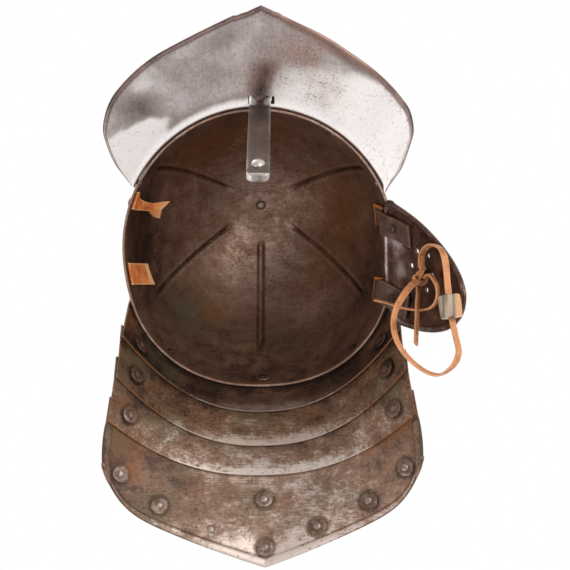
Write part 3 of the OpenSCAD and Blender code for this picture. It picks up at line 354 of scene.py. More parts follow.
# Peak
# Cut from 1.6 mm plate, flanged up against the skull, drooping forward to a point, with its edge
# turned over a wire. Its underside was scoured bright, with pits and one brown stain; its grey and white
# pattern is painted reflection and painted shade.
# thickness, half width, reach, radius of the bend, thickness and width of the turned edge, and how
# much further forward the right side bulges than the left
PEAK_T, PEAK_HALF, REACH, BEND, HEM, HEM_W, UNEVEN = 1.6, 112.0, 78.0, 2.0, 3.4, 4.5, 3.5
# gap to the skull, lower and upper end of the flange, and the droop below level
PEAK_GAP, FLANGE_LOW, FLANGE_TOP, DROOP = 0.35, -1.2, 12.0, math.radians(15)
# the slot's two sides and its middle in x, and how far ahead of the skull it ends
SLOT, SLOT_OFF, SLOT_EDGE = (-7.5, 11.9), 2.2, 8.6
# half of the outline: share of the half width, share of the reach, and x of its root on the rim
PEAK_LINE = np.array([[0.16, 0.921, 18], [0.29, 0.83, 31], [0.42, 0.735, 41], [0.56, 0.617, 51],
                      [0.7, 0.485, 60], [0.82, 0.34, 67.5], [0.92, 0.18, 74], [0.985, 0.03, 79.5],
                      [1.016, -0.16, 84], [1, -0.31, 86.5], [0.95, -0.53, 89.3], [0.9, -0.652, 90.9],
                      [0.84, -0.778, 92]])


def flow(marks, n):
    """A smooth line through marks with n steps between two of them: each step is a Catmull-Rom cubic."""
    p = np.concatenate([marks[:1], marks, marks[-1:]])
    k = np.linspace(0, 1, n, endpoint=False)[:, None]
    parts = [0.5 * (2 * b + (c - a) * k + (2 * a - 5 * b + 4 * c - d) * k ** 2
                    + (3 * b - a - 3 * c + d) * k ** 3)
             for a, b, c, d in zip(p, p[1:], p[2:], p[3:])]
    return np.concatenate(parts + [marks[-1:]])


def front_of(x):
    """Angle on the rim, ahead of the wearer, at x: 180 degrees less the arcsine of x over the half width."""
    return 180 - np.degrees(np.arcsin(np.clip(x / SKULL_A, -1, 1)))


def peak_point(u, f, up):
    """Point of the peak, up mm above its underside, on the line from u[2] on the rim to the outline's point
    (u[0], u[1]): f from -1 to 0 climbs the flange, to 1 rounds the bend and to 2 runs out to the edge."""
    root = bowl(front_of(u[..., 2]), 90.0)
    away = vec(u[..., 0], u[..., 1], 0) - root
    reach = np.linalg.norm(away, axis=-1)
    away = away / reach[..., None]
    low = BEND * mix(0.2, 1, smooth(0, 14, reach)) + PEAK_T
    z = mix(FLANGE_LOW + low, FLANGE_TOP, np.clip(-f, 0, 1))
    climb = bowl(front_of(u[..., 2]), np.degrees(np.arccos(np.clip(z / SKULL_H, 0, 1))))
    b = np.radians(90 * np.clip(f, 0, 1))
    run = (np.maximum(reach, low + 1.25) - PEAK_GAP - low) * np.clip(f - 1, 0, 1)
    flat = np.where((f < 0)[..., None], climb, root)
    flat[..., 2] = 0
    out = PEAK_GAP + low - (low - up) * np.cos(b) + run
    return flat + away * out[..., None] + vec(0, 0, z - (low - up) * np.sin(b) - math.tan(DROOP) * run)


def scoured():
    """Bright steel scoured with sand: the layer "glow", painted reflection and painted shade, runs from
    brown-grey over grey to near white, and fine noise shakes it. Small rust pits lie thicker where the layer
    "rust" is high, and "pale" takes the mirror away."""
    look, t = blank("bright steel, scoured and pitted")
    at = add(t, "TexCoord", out="Object")
    painted_light, rust, pale = (add(t, "Attribute", out="Fac", attribute_name=key)
                        for key in ("painted_light", "rust", "pale"))
    # clouds of 22 mm, grain of 2.4 mm, pits of 1.9 mm, and brush marks 1 mm wide that run ahead
    cloud, grain, spots = (
        add(t, "TexNoise", [("Vector", at), ("Scale", scale), ("Detail", detail), ("Roughness", share)])
        for scale, detail, share in ((45, 5, 0.6), (420, 4, 0.7), (520, 5, 0.8)))
    along = add(t, "Mapping", [("Vector", at), ("Scale", (900, 60, 200))])
    brush = add(t, "TexNoise", [("Vector", along), ("Scale", 1), ("Detail", 3)])
    bright = painted_light
    for part, share in ((cloud, 0.72), (grain, 0.5), (brush, 0.16)):
        bright = add(t, "Math", [(0, part), (1, share), (2, bright)], operation="MULTIPLY_ADD")
    for part, share in ((rust, 0.16), (cloud, 0.25)):
        spots = add(t, "Math", [(0, part), (1, share), (2, spots)], operation="MULTIPLY_ADD")
    blush = add(t, "Math", [(0, rust), (1, cloud)], operation="MULTIPLY")
    grey = add(t, "MapRange", [(0, bright), (1, 0.66), (2, 1.1)])
    white, fleck, spots, blush = (
        add(t, "MapRange", [(0, part), (1, low), (2, high), (4, most)], interpolation_type="SMOOTHSTEP")
        for part, low, high, most in ((bright, 1.06, 1.78, 1), (grain, 0.52, 0.78, 0.5),
                                      (spots, 0.75, 0.85, 0.65), (blush, 0.15, 0.5, 0.55)))
    # grey and white follow the layer glow, painted reflection and painted shade; flecks, pits and blush
    # follow the grain and the layer rust
    colour = tone("#544541")
    for share, tint in ((grey, "#9b8c89"), (white, "#f3ece9"), (fleck, "#93847f"), (spots, "#6d4f40"),
                        (blush, "#a07c6d")):
        colour = add(t, "Mix", [(0, share), (6, colour), (7, tone(tint))], out=2, data_type="RGBA")
    dull = add(t, "MapRange", [(0, grain), (3, 0.36), (4, 0.52)])
    shine = add(t, "MapRange", [(0, pale), (3, 0.92), (4, 0.15)])
    height = add(t, "Math", [(0, spots), (1, -0.5), (2, grain)], operation="MULTIPLY_ADD")
    cover(t, colour, height, 0.12, 0.0006, ("Roughness", dull), ("Metallic", shine))
    return look


part, ahead, root = flow(PEAK_LINE, 7).T
bulge = UNEVEN / 2 * smooth(0.4, 0.7, part) * (1 - smooth(0.93, 1.01, part))
left, right = (vec(s * part * PEAK_HALF, s * bulge - SKULL_B - ahead * REACH, s * root) for s in (1, -1))
mid_x = np.concatenate([np.linspace(17, SLOT[1], 4)[1:], np.linspace(SLOT[1], SLOT_OFF, 8)[1:],
                        np.linspace(SLOT_OFF, SLOT[0], 8)[1:], np.linspace(SLOT[0], -17, 6)[1:-1]])
point = 1.02 - 0.0062 * np.abs(mid_x - SLOT_OFF) + 0.01 * smooth(9.7, 15, np.abs(mid_x - SLOT_OFF))
line = np.concatenate([left[::-1], vec(mid_x, -SKULL_B - point * REACH, mid_x), right])[None]
slot_a, slot_b = (int(np.argmin(np.abs(line[0, :, 0] - x))) for x in SLOT[::-1])
slot_share = (SLOT_EDGE - BEND) / (REACH - BEND - PEAK_T - PEAK_GAP) / 0.94
length = np.linalg.norm((line - bowl(front_of(line[..., 2]), 90.0))[..., :2], axis=-1)
edge = 2 - np.minimum(0.5, HEM_W / np.maximum(length - BEND - PEAK_T, 1))
# rows: seven up the flange, six round the bend, 35 to the hem, and eight across the hem
bend_rows = np.concatenate([np.linspace(-1, 0, 7), np.linspace(0, 1, 7)[1:]])[:, None]
flat_rows = np.concatenate([[slot_share], np.linspace(0.16, 1, 34)])[:, None]
hem_rows = np.array([0.08, 0.2, 0.35, 0.5, 0.65, 0.8, 0.92, 1])[:, None]
f = np.concatenate([bend_rows + 0 * edge, 1 + (edge - 1) * flat_rows, mix(edge, 2, hem_rows)])
in_hem = np.zeros((len(f), 1))
in_hem[-8:, 0] = 0.5, 0.8, 0.95, 1, 0.95, 0.8, 0.5, 0.2
u = np.repeat(line, len(f), 0)
under = peak_point(u, f, 0.0)
up = unit(peak_point(u, f, PEAK_T) - under)
swell = (HEM - PEAK_T) / 2 * in_hem
wave = 0.5 * beaten(under, 48, 8) * smooth(1.0, 1.3, f) * (1 - in_hem) * smooth(8, 30, np.abs(u[..., 0] - 2))
# painted reflection of the studio: bright on the wearer's left and low on the right, grey between, with
# a painted dark reflection of the bar as a streak ahead of the slot
x, y = under[..., 0], under[..., 1]
here = vec(x, y, 0)
spot = here[..., :2]
top = -103 + 0.75 * np.maximum(0, -86 - x) + 3 * beaten(here, 9, 5)
streak = (np.exp(-((x - 2 + 0.25 * np.minimum(0, y + 122)) / 8) ** 2) * smooth(-150, -138, y)
          * smooth(-112, -122, y))
near, hem_at = (f - 1) * (length - BEND), length * (2 - f)
root_highlight = smooth(2.4, 0.8, near)
painted_light = (0.6 + 0.68 * smooth(2, 24, x + 0.35 * (y + 135)) * smooth(-152, -128, y - 0.1 * x)
        + 0.3 * smooth(60, 95, x))
painted_light = (painted_light + 0.66 * smooth(-62, -72, x + 2 * beaten(here, 12, 6)) * smooth(top - 4, top + 5, y)
        - 0.62 * streak)
# painted reflection: soft lighter and darker spots
painted_light = painted_light + patches(spot, (-0.42, -84, -111, 13), (0.25, -86, -126, 9), (-0.16, 57, -106, 8),
                      (-0.12, 82, -92, 10), (0.25, 42, -122, 16), (0.12, 35, -149, 14))
# painted shade in a band just ahead of the bend, except on the wearer's far left
painted_light = painted_light - 0.14 * smooth(1.0, 4.0, near) * smooth(13, 4, near) * (x < 40)
# painted shade just inside the hem at the front, on the wearer's left
painted_light = painted_light - 0.5 * smooth(13, 4, hem_at) * smooth(-118, -132, y) * smooth(30, 60, x)
# painted shade inside the bend, a painted highlight along its lower side, and a fine painted highlight
# where the hem folds
painted_light = np.where(f < 1, mix(-0.4, 1.3, smooth(0.5, 0.8, f)), painted_light + 0.6 * root_highlight * smooth(-74, -62, x))
painted_light[-8:] = np.array([0.95, 0.3, 0.22, 0.25, 0.2, 0.1, -0.05, -0.15])[:, None]
painted_light = painted_light + 0.35 * smooth(0.3, 0.5, in_hem) * smooth(80, 95, np.abs(x)) * smooth(-105, -80, y)
# rust stains, with rust tint in the bend as painted brown shade and more rust towards the hem
rust = patches(spot, (0.62, 35, -149, 13), (0.6, 20, -158, 26), (0.5, -2, -130, 22), (0.45, 50, -118, 25),
               (0.3, -98, -100, 22)) + 0.2 * smooth(20, 50, x) + 0.5 * (f < 0.6)
rust = rust + 0.5 * smooth(12, 2, hem_at) * (0.4 + 0.6 * smooth(-110, -130, y))
pale = np.maximum(0.9 * smooth(0.95, 0.7, f), 0.6 * root_highlight * (f >= 1))
pale[-8] = 0.7
peak = plate("peak_plate", under + up * wave[..., None], up, -swell, PEAK_T + swell, scoured(),
             gap=(len(bend_rows) - 1, len(bend_rows), slot_a, slot_b),
             layers={"painted_light": painted_light, "rust": rust, "pale": pale})
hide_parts("peak")
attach(peak, "skull_body")


def frame_of(way):
    """Two directions square to way and to each other, and way itself, by cross products with an upright."""
    way = unit(np.asarray(way, float))
    a = unit(np.cross([0, 0, 1.0] if abs(way[2]) < 0.9 else [0, 1.0, 0], way))
    return a, np.cross(way, a), way


def turned(name, profile, places, look, corners=0, uneven=0.0, seed=1, wear_and_painted_light=0.3, around=40):
    """Turned pieces: profile (radius, height) carried round each place (point, direction). With corners its
    outline is a rounded polygon, radius cos(pi/c) over cos of the angle from the nearest side's middle."""
    profile = np.asarray(profile, float)
    r, z = profile[:, :1], profile[:, 1:]
    rng, th, points = np.random.default_rng(seed), np.arange(around) / around * 2 * np.pi, []
    for point, way in places:
        a, b, w = frame_of(way)
        shape = 1 + uneven * sum(np.sin(th * q + rng.uniform(0, 6.3)) / q for q in (2, 3, 5))
        if corners:
            nearest = (th + rng.uniform(0, 1)) % (2 * np.pi / corners) - np.pi / corners
            shape = shape * mix(1, np.cos(np.pi / corners) / np.cos(nearest), 0.8) * 1.02
        r_out = (r * (1 + (shape - 1) * smooth(0, r.max(), r)))[..., None]
        points.append(point + r_out * (np.cos(th)[:, None] * a + np.sin(th)[:, None] * b) + z[..., None] * w)
    cells = lattice(len(r), around, r[0, 0] > 0.01, True).reshape(-1, 4)
    rubbed = np.broadcast_to(wear_and_painted_light + 0.5 * (z - z.min()) / np.ptp(z), (len(r), around))
    piece = put(name, np.concatenate(points), [cells + i * len(r) * around for i in range(len(places))], look,
                {"wear_and_painted_light": np.tile(rubbed, (len(places), 1))}, 35)
    mesh = bmesh.new()
    mesh.from_mesh(piece.data)
    bmesh.ops.remove_doubles(mesh, verts=mesh.verts, dist=1e-6)
    mesh.to_mesh(piece.data)
    mesh.free()
    return piece


def headed(d, h, base, shank, foot, foot_h, foot_d):
    """Profile of a set rivet: a quarter ellipse down its outer head, d by h from base, the shank, and a
    quarter ellipse out to the inner head's top, foot_d by foot_h from foot."""
    a = np.radians(np.linspace(90, 0, 8))
    head = np.stack([d / 2 * np.cos(a), base + h * np.sin(a)], -1)
    inner = np.stack([foot_d / 2 * np.cos(a), foot - foot_h * np.sin(a)], -1)[::-1]
    head[0, 0] = inner[-1, 0] = 0
    return np.concatenate([head, [[shank / 2, base - 0.02], [shank / 2, foot + 0.02]], inner])


rivet_look = iron("hammered iron rivets", "#33251d", "#654c3e", "#a39288", "#7a4d30", rust_share=0.45,
                  rough=(0.4, 0.6), bump=0.3)
t = np.degrees(np.arccos(7 / SKULL_H))
spots = [(bowl(a, t), bowl_out(a, t)) for a in (118, 146, 214, 242)]
rivets = turned("rivets_peak", headed(8.4, 2.4, 2.2, 4, -WALL - 0.7, 1.2, 6), spots, rivet_look, uneven=0.02,
                seed=4, wear_and_painted_light=0.6)
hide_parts("peak_rivets")
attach(rivets, "skull_body")

# Crown
# The finial is a turned iron knob on a lobed rosette. Its shank passes the crown and is
# hammered over inside.
# rosette: degrees off the crown where it starts and ends, and thickness; ball: radius and height
ROSE_IN, ROSE_OUT, ROSE_T, BALL_R, BALL_Z = 1.75, 9.8, 1.3, 4.6, 159.5
way = np.arange(0, 360, 2.0)[None]
step = np.linspace(ROSE_IN, ROSE_OUT, 14)[:, None]
lobe = 1 + 0.1 * (np.cos(np.radians(way * 6)) - 1) / 2 * smooth(6, ROSE_OUT, step)
rose = bowl(way, step * lobe) + [0, 0, 0.1]
rosette = plate("rosette", rose, np.broadcast_to([0, 0, 1.0], rose.shape), 0,
                ROSE_T * (1 - 0.3 * smooth(8.5, ROSE_OUT, step)), rivet_look, ring=True, layers={"wear_and_painted_light": 0.6})
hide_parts("crown_rosette")
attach(rosette, "skull_body")
ball = np.radians(np.linspace(90, -50, 16))[1:]
finial_line = [[0, 164.1], *np.stack([BALL_R * np.cos(ball), BALL_Z + BALL_R * np.sin(ball)], -1), [3, 155.7],
               [3.4, 154.1], [5.5, 153.4], [7, 152.7], [7, 151.5], [2.9, 151.5], [2.9, 147.8], [3.9, 147.7],
               [3.6, 146.9], [2.6, 146.1], [1.3, 145.8], [0, 145.7]]
finial = turned("finial", finial_line, [((0, CREST, 0), (0, 0, 1))], rivet_look, uneven=0.03, wear_and_painted_light=0.75)
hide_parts("crown_finial")
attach(finial, "skull_body")

# Nasal bar
# A flat forged bar that slides up and down through the peak's slot. Its face was filed and is
# mid grey, and a riveted steel knob and a lip turned forward at the foot give a grip.
# width, thickness, reach up and down from BAR_AT, straight length below it, and radius of the curve
BAR_W, BAR_T, BAR_UP, BAR_DOWN, STRAIGHT, BAR_R = 16.0, 3.3, 58.0, 144.5, 42.0, 470.0
BAR_AT, LEAN = np.array([1.2, -110.6, -4.0]), math.radians(4)
# eased corners, radius of the foot's corners, radius and reach of the lip, knob's height over the foot
CORNER, FOOT_R, LIP_R, LIP_OUT, KNOB_UP = 0.55, 4.5, 2.3, 1.9, 17


def bar_place(p):
    """Points of the bar's own frame, turned by its lean about the x axis, as points of the helmet."""
    p = np.asarray(p, float)
    return BAR_AT + vec(p[..., 0], p[..., 1] * math.cos(LEAN) - p[..., 2] * math.sin(LEAN),
                        p[..., 1] * math.sin(LEAN) + p[..., 2] * math.cos(LEAN))


def bar_back(z):
    """Back of the bar, and its angle: straight, then from 42 mm down an arc of radius 470 mm that turns
    towards the face."""
    a = np.maximum(0, (-z - STRAIGHT) / BAR_R)
    return BAR_R * (1 - np.cos(a)), np.where(a > 0, -STRAIGHT - BAR_R * np.sin(a), z), a


bar_look = iron("filed steel, grey", "#3d322c", "#665750", "#cdc4be", "#6f5446", metal=0.9, rough=(0.3, 0.42),
                mottle=0.45, rust_share=0.2, pits=0.2, bump=0.12)
z = np.concatenate([np.linspace(BAR_UP, 0, 16), np.linspace(0, 10 - BAR_DOWN, 54)[1:],
                    np.linspace(10 - BAR_DOWN, -BAR_DOWN - 1.95, 26)[1:]])
by, bz, ba = (v[:, None] for v in bar_back(z))
# section: a rectangle whose four corners are eased, with seven points along each broad side
h, w = BAR_T, BAR_W / 2
ease = CORNER * np.array([[0, -1], [0.3, -0.3], [1, 0]])
a, b, c, d = [-w, 0] + ease, [w, 0] + ease[::-1] * [-1, 1], [w, -h] - ease, [-w, -h] + ease[::-1] * [1, -1]
across = np.linspace(0, 1, 9)[1:-1, None]
section_x, section_y = np.concatenate([a, mix(a[-1], b[0], across), b, c, mix(c[-1], d[0], across), d]).T
# the foot narrows round its corners, radius 4.5 mm, and swells forward into the lip, radius 2.3 mm
low = bar_back(np.array(-BAR_DOWN))[1] - LIP_OUT
end = np.clip((low + FOOT_R - bz) / FOOT_R, 0, 1)
lip = np.clip(1 - ((bz - (low + LIP_R)) / 2.6) ** 2, 0, 1) ** 0.5
wide = section_x * (1 - FOOT_R / w * (1 - np.sqrt(np.maximum(0, 1 - end ** 2))))
deep = section_y - LIP_OUT * lip * (section_y < -h / 2)
points = bar_place(vec(wide, by + deep * np.cos(ba), bz + deep * np.sin(ba)))
n, m = points.shape[:2]
ends = [np.arange(m)[None], (n - 1) * m + np.arange(m)[None, ::-1]]
# a little lighter in its upper part and at its edges; the foot has painted highlights along the lip and
# at its sides, where its turned end catches the light, and painted shade round and below the knob
down, side = -bz, np.abs(section_x) / w
wear_and_painted_light = 0.1 + 0.12 * smooth(45, 25, down) + 0.05 * np.sin(down / 9) + 0.7 * lip + 0.15 * smooth(0.8, 1, side)
wear_and_painted_light = (wear_and_painted_light + 0.9 * smooth(10, 5, down) * smooth(0.25, 0.5, side)
        - 0.5 * smooth(14, 2, down) * smooth(0.5, 0.2, side))
wear_and_painted_light = wear_and_painted_light - 0.3 * smooth(22, 12, down) * smooth(6, 12, down)
bar = put("nasal_bar_steel", points, [lattice(n, m, False, True).reshape(-1, 4)[:, ::-1], *ends], bar_look,
          {"wear_and_painted_light": wear_and_painted_light}, 50)
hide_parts("nasal_bar")
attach(bar, "nasal")
knob_look = iron("polished steel knob", "#5c463b", "#8f796d", "#c9bdb5", "#876853", rough=(0.32, 0.45),
                 mottle=0.5, rust_share=0.1, pits=0.1, bump=0.05)
ky, kz, ka = bar_back(np.array(KNOB_UP - BAR_DOWN))
knob_at = bar_place([0, ky - BAR_T * math.cos(ka), kz - BAR_T * math.sin(ka)])
knob_way = np.array([0, -math.cos(ka + LEAN), -math.sin(ka + LEAN)])
knob = turned("knob", headed(9.6, 3.2, 0.05, 3, -BAR_T - 0.05, 1.1, 5.4), [(knob_at, knob_way)], knob_look,
              wear_and_painted_light=0.6)
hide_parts("nasal_knob")
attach(knob, "nasal")

# Tail
# Four lames of 1.4 mm iron, each riveted at its two front corners outside the one above, the last
# one pointed and turned at the edge. Their insides are rubbed steel under brown patina.
# of each lame's lower edge: half width, y in the middle and at the side, z in the middle and at the side
LOW = {1: (SKULL_A, SKULL_B + 12.5, SKULL_B - 51.9, -20, -28),
       2: (SKULL_A + 3.8, SKULL_B + 31.2, SKULL_B - 29.4, -44, -55),
       3: (SKULL_A + 10, SKULL_B + 47.5, SKULL_B - 2.3, -63, -76),
       4: (SKULL_A + 13, SKULL_B + 102.7, SKULL_B + 26.2, -107, -95)}
# thickness, gap to the next lame and to the skull, how far an upper corner stands off, half width at
# the rim, and how far each reaches up over the one above in its middle
LAME_T, LAME_GAP, SKULL_GAP, STAND, RIM_HALF, LAP_MID = 1.4, 0.5, 0.7, 2.2, SKULL_A - 4, 14.0
# how far each reaches up over the one above near its side and at its end, and where its pivots sit
LAP = {2: (17, 13), 3: (23, 19), 4: (22.5, 19.5)}
PIVOT = {2: (0.895, 11), 3: (0.89, 16), 4: (0.889, 15.3)}
# of each lame: how bare it is rubbed, and how much more on the wearer's left and on the right
RUBBED = {1: (-0.12, 0.5, 0.25), 2: (0.1, 0.5, 0.25), 3: (0.26, 0.15, 0), 4: (0.2, 0.1, 0)}
# the last lame's rivets: share of its half width, share of its fall, and 1 with a washer
EDGE = ((-0.9, 0.6, 1), (-0.664, 0.705, 1), (-0.34, 0.755, 0), (0, 0.275, 1), (0, 0.8, 1), (0.34, 0.755, 1),
        (0.664, 0.705, 1), (0.9, 0.6, 1))
# turn of the tail, width of its turned edge and depth of its belly; washers and their bore's radius
SKEW, HEM_TAIL, BELLY = math.radians(-1.4), 4.5, 5.0
WASHER_T, WASHER_D, BORE = 1.1, 13.0, 2.1


def skew(p):
    """The tail turned 1.4 degrees about the upright axis."""
    return vec(p[..., 0] * math.cos(SKEW) - p[..., 1] * math.sin(SKEW),
               p[..., 0] * math.sin(SKEW) + p[..., 1] * math.cos(SKEW), p[..., 2])


def skull_y(x, z, off):
    """How far back the skull reaches at x and height z, off mm outside it."""
    s = np.sqrt(np.maximum(0, 1 - (z / SKULL_H) ** 2))
    return (SKULL_B * s + off) * np.maximum(0, 1 - (np.abs(x) / (SKULL_A * s + off)) ** FULL) ** (1 / FULL)


def edge_of(k, u):
    """Lower edge of lame k at share u of its half width: back and height fall away with a power of u."""
    q = np.abs(u)
    if k == 0:
        return vec(RIM_HALF * u, skull_y(RIM_HALF * u, 0.0, SKULL_GAP), 0)
    xs, yc, ys, zc, zs = LOW[k]
    if k == 4:
        slant = 0.355 * xs
        return vec(xs * u, yc - slant * q - 7 * q * q * (1 - q ** 6) - (yc - slant - ys) * q ** 12,
                   zc + (zs - zc) * q * q)
    return vec(xs * u, yc - (yc - ys) * q ** 2.3, zc - (zc - zs) * q ** 2.3)


def fall(k, u):
    """Direction from one lower edge to the next."""
    return unit(edge_of(k, u) - edge_of(k - 1, u))


def face_out(k, u):
    """Outward direction of the band between two lower edges: the cross product of edge and fall."""
    c = np.clip(u, -0.98, 0.98)
    return unit(np.cross(edge_of(k, c + 0.02) - edge_of(k, c - 0.02), fall(k, u)))


def lap(k, u):
    """How far lame k reaches up over the one above: more with u^4, less again with u^24."""
    q, (side, end) = np.abs(u), LAP[k]
    return LAP_MID + (side - LAP_MID) * q ** 4 - (side - end) * q ** 24


def lame_face(k, w, u):
    """Inside of lame k: w from -1 to 0 lies over the lame above, and 0 to 1 is its own fall, bellied by
    w - w^2."""
    w, u = np.broadcast_arrays(np.asarray(w, float), np.asarray(u, float))
    belly = w - w * w
    if k == 1:
        z = -np.minimum(w, 0) * mix(22, 9, u * u)
        x = (RIM_HALF - 0.02 * z) * u
        own = mix(edge_of(0, u), edge_of(1, u), w[..., None]) + face_out(1, u) * (1.2 * belly)[..., None]
        return np.where((w < 0)[..., None], vec(x, skull_y(x, z, SKULL_GAP), z), own)
    a, f, n = edge_of(k - 1, u), fall(k - 1, u), face_out(k - 1, u)
    m = a + n * (LAME_T + LAME_GAP)
    stand = -w * mix(0.4, STAND - LAME_GAP, np.abs(u) ** 3)
    over = m + f * (w * lap(k, u))[..., None] + n * stand[..., None]
    own = (mix(m, edge_of(k, u), w[..., None])
           - face_out(k, u) * (BELLY * (1.4 if k == 4 else 0.35) * belly)[..., None])
    own = own + vec(9.6 * power(u, 3) * belly * (k == 4), 0, 0)
    return np.where((w < 0)[..., None], over, own)


def lame_out(k, w, u):
    """Outward direction of a lame, the cross product of its two tangents."""
    w, u = np.broadcast_arrays(np.asarray(w, float), np.asarray(u, float))
    c = np.clip(u, -0.985, 0.985)
    way = np.where(w < 0, -1, 1)
    v = way * np.maximum(np.abs(w), 0.02)
    down = (lame_face(k, v + 0.04 * way, c) - lame_face(k, v, c)) * way[..., None]
    return unit(np.cross(lame_face(k, w, c + 0.015) - lame_face(k, w, c - 0.015), down))


def washer_line(d, z):
    """Section of a dished washer: its face rises towards the bore, and its outer edge is rounded."""
    r, t = d / 2, WASHER_T
    return [[BORE, z + 0.1], [r * 0.6, z - 0.05], [r - 0.7, z + 0.1], [r - 0.15, z + 0.35], [r, z + t * 0.6],
            [r - 0.1, z + t], [BORE, z + t]]


looks = {
    1: iron("wrought iron, dark brown", "#2f2019", "#64493a", "#a28f84", "#7d4b2b", mottle=0.7, scratch=1.0,
            rust_share=0.4, bump=0.3),
    2: iron("wrought iron, brown", "#3f2c22", "#7d5e4a", "#c6b3a5", "#84502e", rough=(0.42, 0.64),
            scratch=1.3, rust_share=0.4, bump=0.35),
    3: iron("iron rubbed bright", "#4e3b32", "#8a6c5a", "#d6c8be", "#835234", rough=(0.42, 0.64), mottle=1.1,
            scratch=1.3, rust_share=0.4, bump=0.35),
    4: iron("iron rubbed bright, pitted", "#54423a", "#8b6d5b", "#cdbdb3", "#855a40", metal=0.65,
            rough=(0.5, 0.68), mottle=1.05, scratch=1.2, rust_share=0.4, pits=0.6, bump=0.4)}
for k, look in looks.items():
    q = np.linspace(-1, 1, 161)
    u = (np.sign(q) * (1 - (1 - np.abs(q)) ** 1.15))[None]
    w = np.concatenate([np.linspace(-1, 0, 14), np.linspace(0, 1, 34)[1:]])[:, None]
    hem, lift = 0.0, 0.25
    if k == 4:
        # the edge is turned over a wire along the bottom and up both sides
        last, lift = 1 - HEM_TAIL / LOW[4][0], 0.5
        steps = [last + 0.003, 0.97, 0.985, 0.995, 1]
        u = np.concatenate([-np.array(steps[::-1]), last * u[0], steps])[None]
        w = np.concatenate([w[:14, 0], np.linspace(0, 0.91, 34)[1:],
                            [0.92, 0.94, 0.96, 0.98, 0.992, 1]])[:, None]
        lower = np.interp(w, [0.905, 0.92, 0.94, 0.96, 0.98, 0.992, 1], [0, 0.75, 0.97, 1, 0.95, 0.75, 0.4])
        sides = np.interp(np.abs(u), [last, *steps], [0, 0.7, 1, 1, 0.75, 0.3]) * smooth(0.02, 0.12, w)
        hem = (HEM - LAME_T) / 2 * np.maximum(lower, sides)
    inside, out, q = lame_face(k, w, u), lame_out(k, w, u), np.abs(u)
    middle = smooth(0.85, 0.2, q)
    lift = (lift * beaten(inside, 40, 20 + k) * smooth(0.1, 0.4, w) * (1 - smooth(0.8, 1, w))
            * smooth(1.0, 0.93, q))
    # rubbed bare towards the lower edge and its middle and darker towards the sides, with a painted highlight
    # along the edge itself, painted shadow under the lame above, and a ring of painted shade round each
    # washer
    bare, left, right = RUBBED[k]
    wear_and_painted_light = bare - 0.4 * smooth(0.45, 1.0, q) + (0.42 * smooth(0.6, 1, w) + 0.9 * smooth(0.985, 1, w)) * middle
    wear_and_painted_light = (wear_and_painted_light - 0.32 * smooth(0.35, 0.0, np.abs(w))
            + 0.35 * smooth(0.5, 0.85, w) * smooth(0.6, 0.1, np.abs(u - 0.1)))
    wear_and_painted_light = wear_and_painted_light + left * smooth(0.45, 0.9, u) + right * smooth(-0.6, -0.95, u)
    warm = 1.4 * smooth(0.95, 0.99, w) * smooth(0.35, 0.8, q) + 0.45 * smooth(0.5, 0.95, q)
    warm = warm + 0.7 * smooth(0.5, 0.0, np.abs(w - 0.35)) * (0.5 + 0.5 * beaten(inside, 30, 60 + k))
    olive = 0.9 * np.clip(0.3 + beaten(inside, 45, 70 + k), 0, 1)
    if k == 2:
        wear_and_painted_light = wear_and_painted_light + 0.2 * smooth(0.8, 0.95, w) * middle
    if k == 4:
        # lighter just under the lame above in the middle and low on the wearer's left, darker on the right,
        # with darker lines along the flanks of the turned edge and a lighter crest
        wear_and_painted_light = (wear_and_painted_light + 0.5 * smooth(0.3, 0.05, w) * smooth(-0.02, 0.03, w) * middle
                - 0.12 * smooth(-0.1, -0.5, u))
        wear_and_painted_light = wear_and_painted_light + 0.3 * np.exp(-((u - 0.42) / 0.28) ** 2 - ((w - 0.5) / 0.3) ** 2)
        wear_and_painted_light = wear_and_painted_light - 0.5 * (hem > 0.05) * (hem < 0.6) + 0.3 * smooth(0.7, 0.85, hem)
        warm = (warm + 0.6 * smooth(0.2, 0.0, w) * smooth(0.2, 0.7, q)) * (1 - 0.8 * (hem > 0.1))
        seats = [lame_face(4, down, side) for side, down, washer in EDGE if washer]
    else:
        share, above = PIVOT[k + 1]
        seats = [edge_of(k, v) - fall(k, v) * above for v in (-share, share)]
    for seat in seats:
        wear_and_painted_light = wear_and_painted_light - 0.7 * np.exp(-((np.linalg.norm(inside - seat, axis=-1) - 7.3) / 1.3) ** 2)
    lame = plate("lame_%d" % k, skew(inside + out * lift[..., None]), skew(out), -hem, LAME_T + hem, look,
                 layers={"wear_and_painted_light": wear_and_painted_light, "warm": warm, "olive": olive}, nose=0.3)
    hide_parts("tail_lame_%d" % k)
    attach(lame, "skull_body" if k == 1 else "lame_%d" % k)

for k, (share, above) in PIVOT.items():
    spots, rub = [], -0.25 + 0.1 * k
    for u in np.array([-share, share]):
        w = -above / lap(k, u)
        p = edge_of(k - 1, u) - fall(k - 1, u) * above
        p = p + (face_out(1, u) * 0.3 if k == 2 else -face_out(k - 1, u) * 0.32)
        way = unit(face_out(k - 1, u) + lame_out(k, w, u))
        tall = float((lame_face(k, w, u) - p) @ way) + LAME_T
        spots.append((skew(p), skew(way)))
    rivets = turned("pivots_%d" % k, headed(9, 2.4, tall + 0.7, 4, -WASHER_T - 0.85, 1.5, 6.4), spots,
                    rivet_look, uneven=0.04, seed=k, wear_and_painted_light=rub)
    washers = turned("pivot_washers_of_%d" % k, washer_line(WASHER_D, -WASHER_T - 0.75), spots, rivet_look,
                     corners=8, uneven=0.03, seed=10 + k, wear_and_painted_light=rub)
    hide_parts("pivot_rivets_%d" % k)
    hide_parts("pivot_washers_%d" % k)
    for piece in (rivets, washers):
        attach(piece, "skull_body" if k == 2 else "lame_%d" % (k - 1))

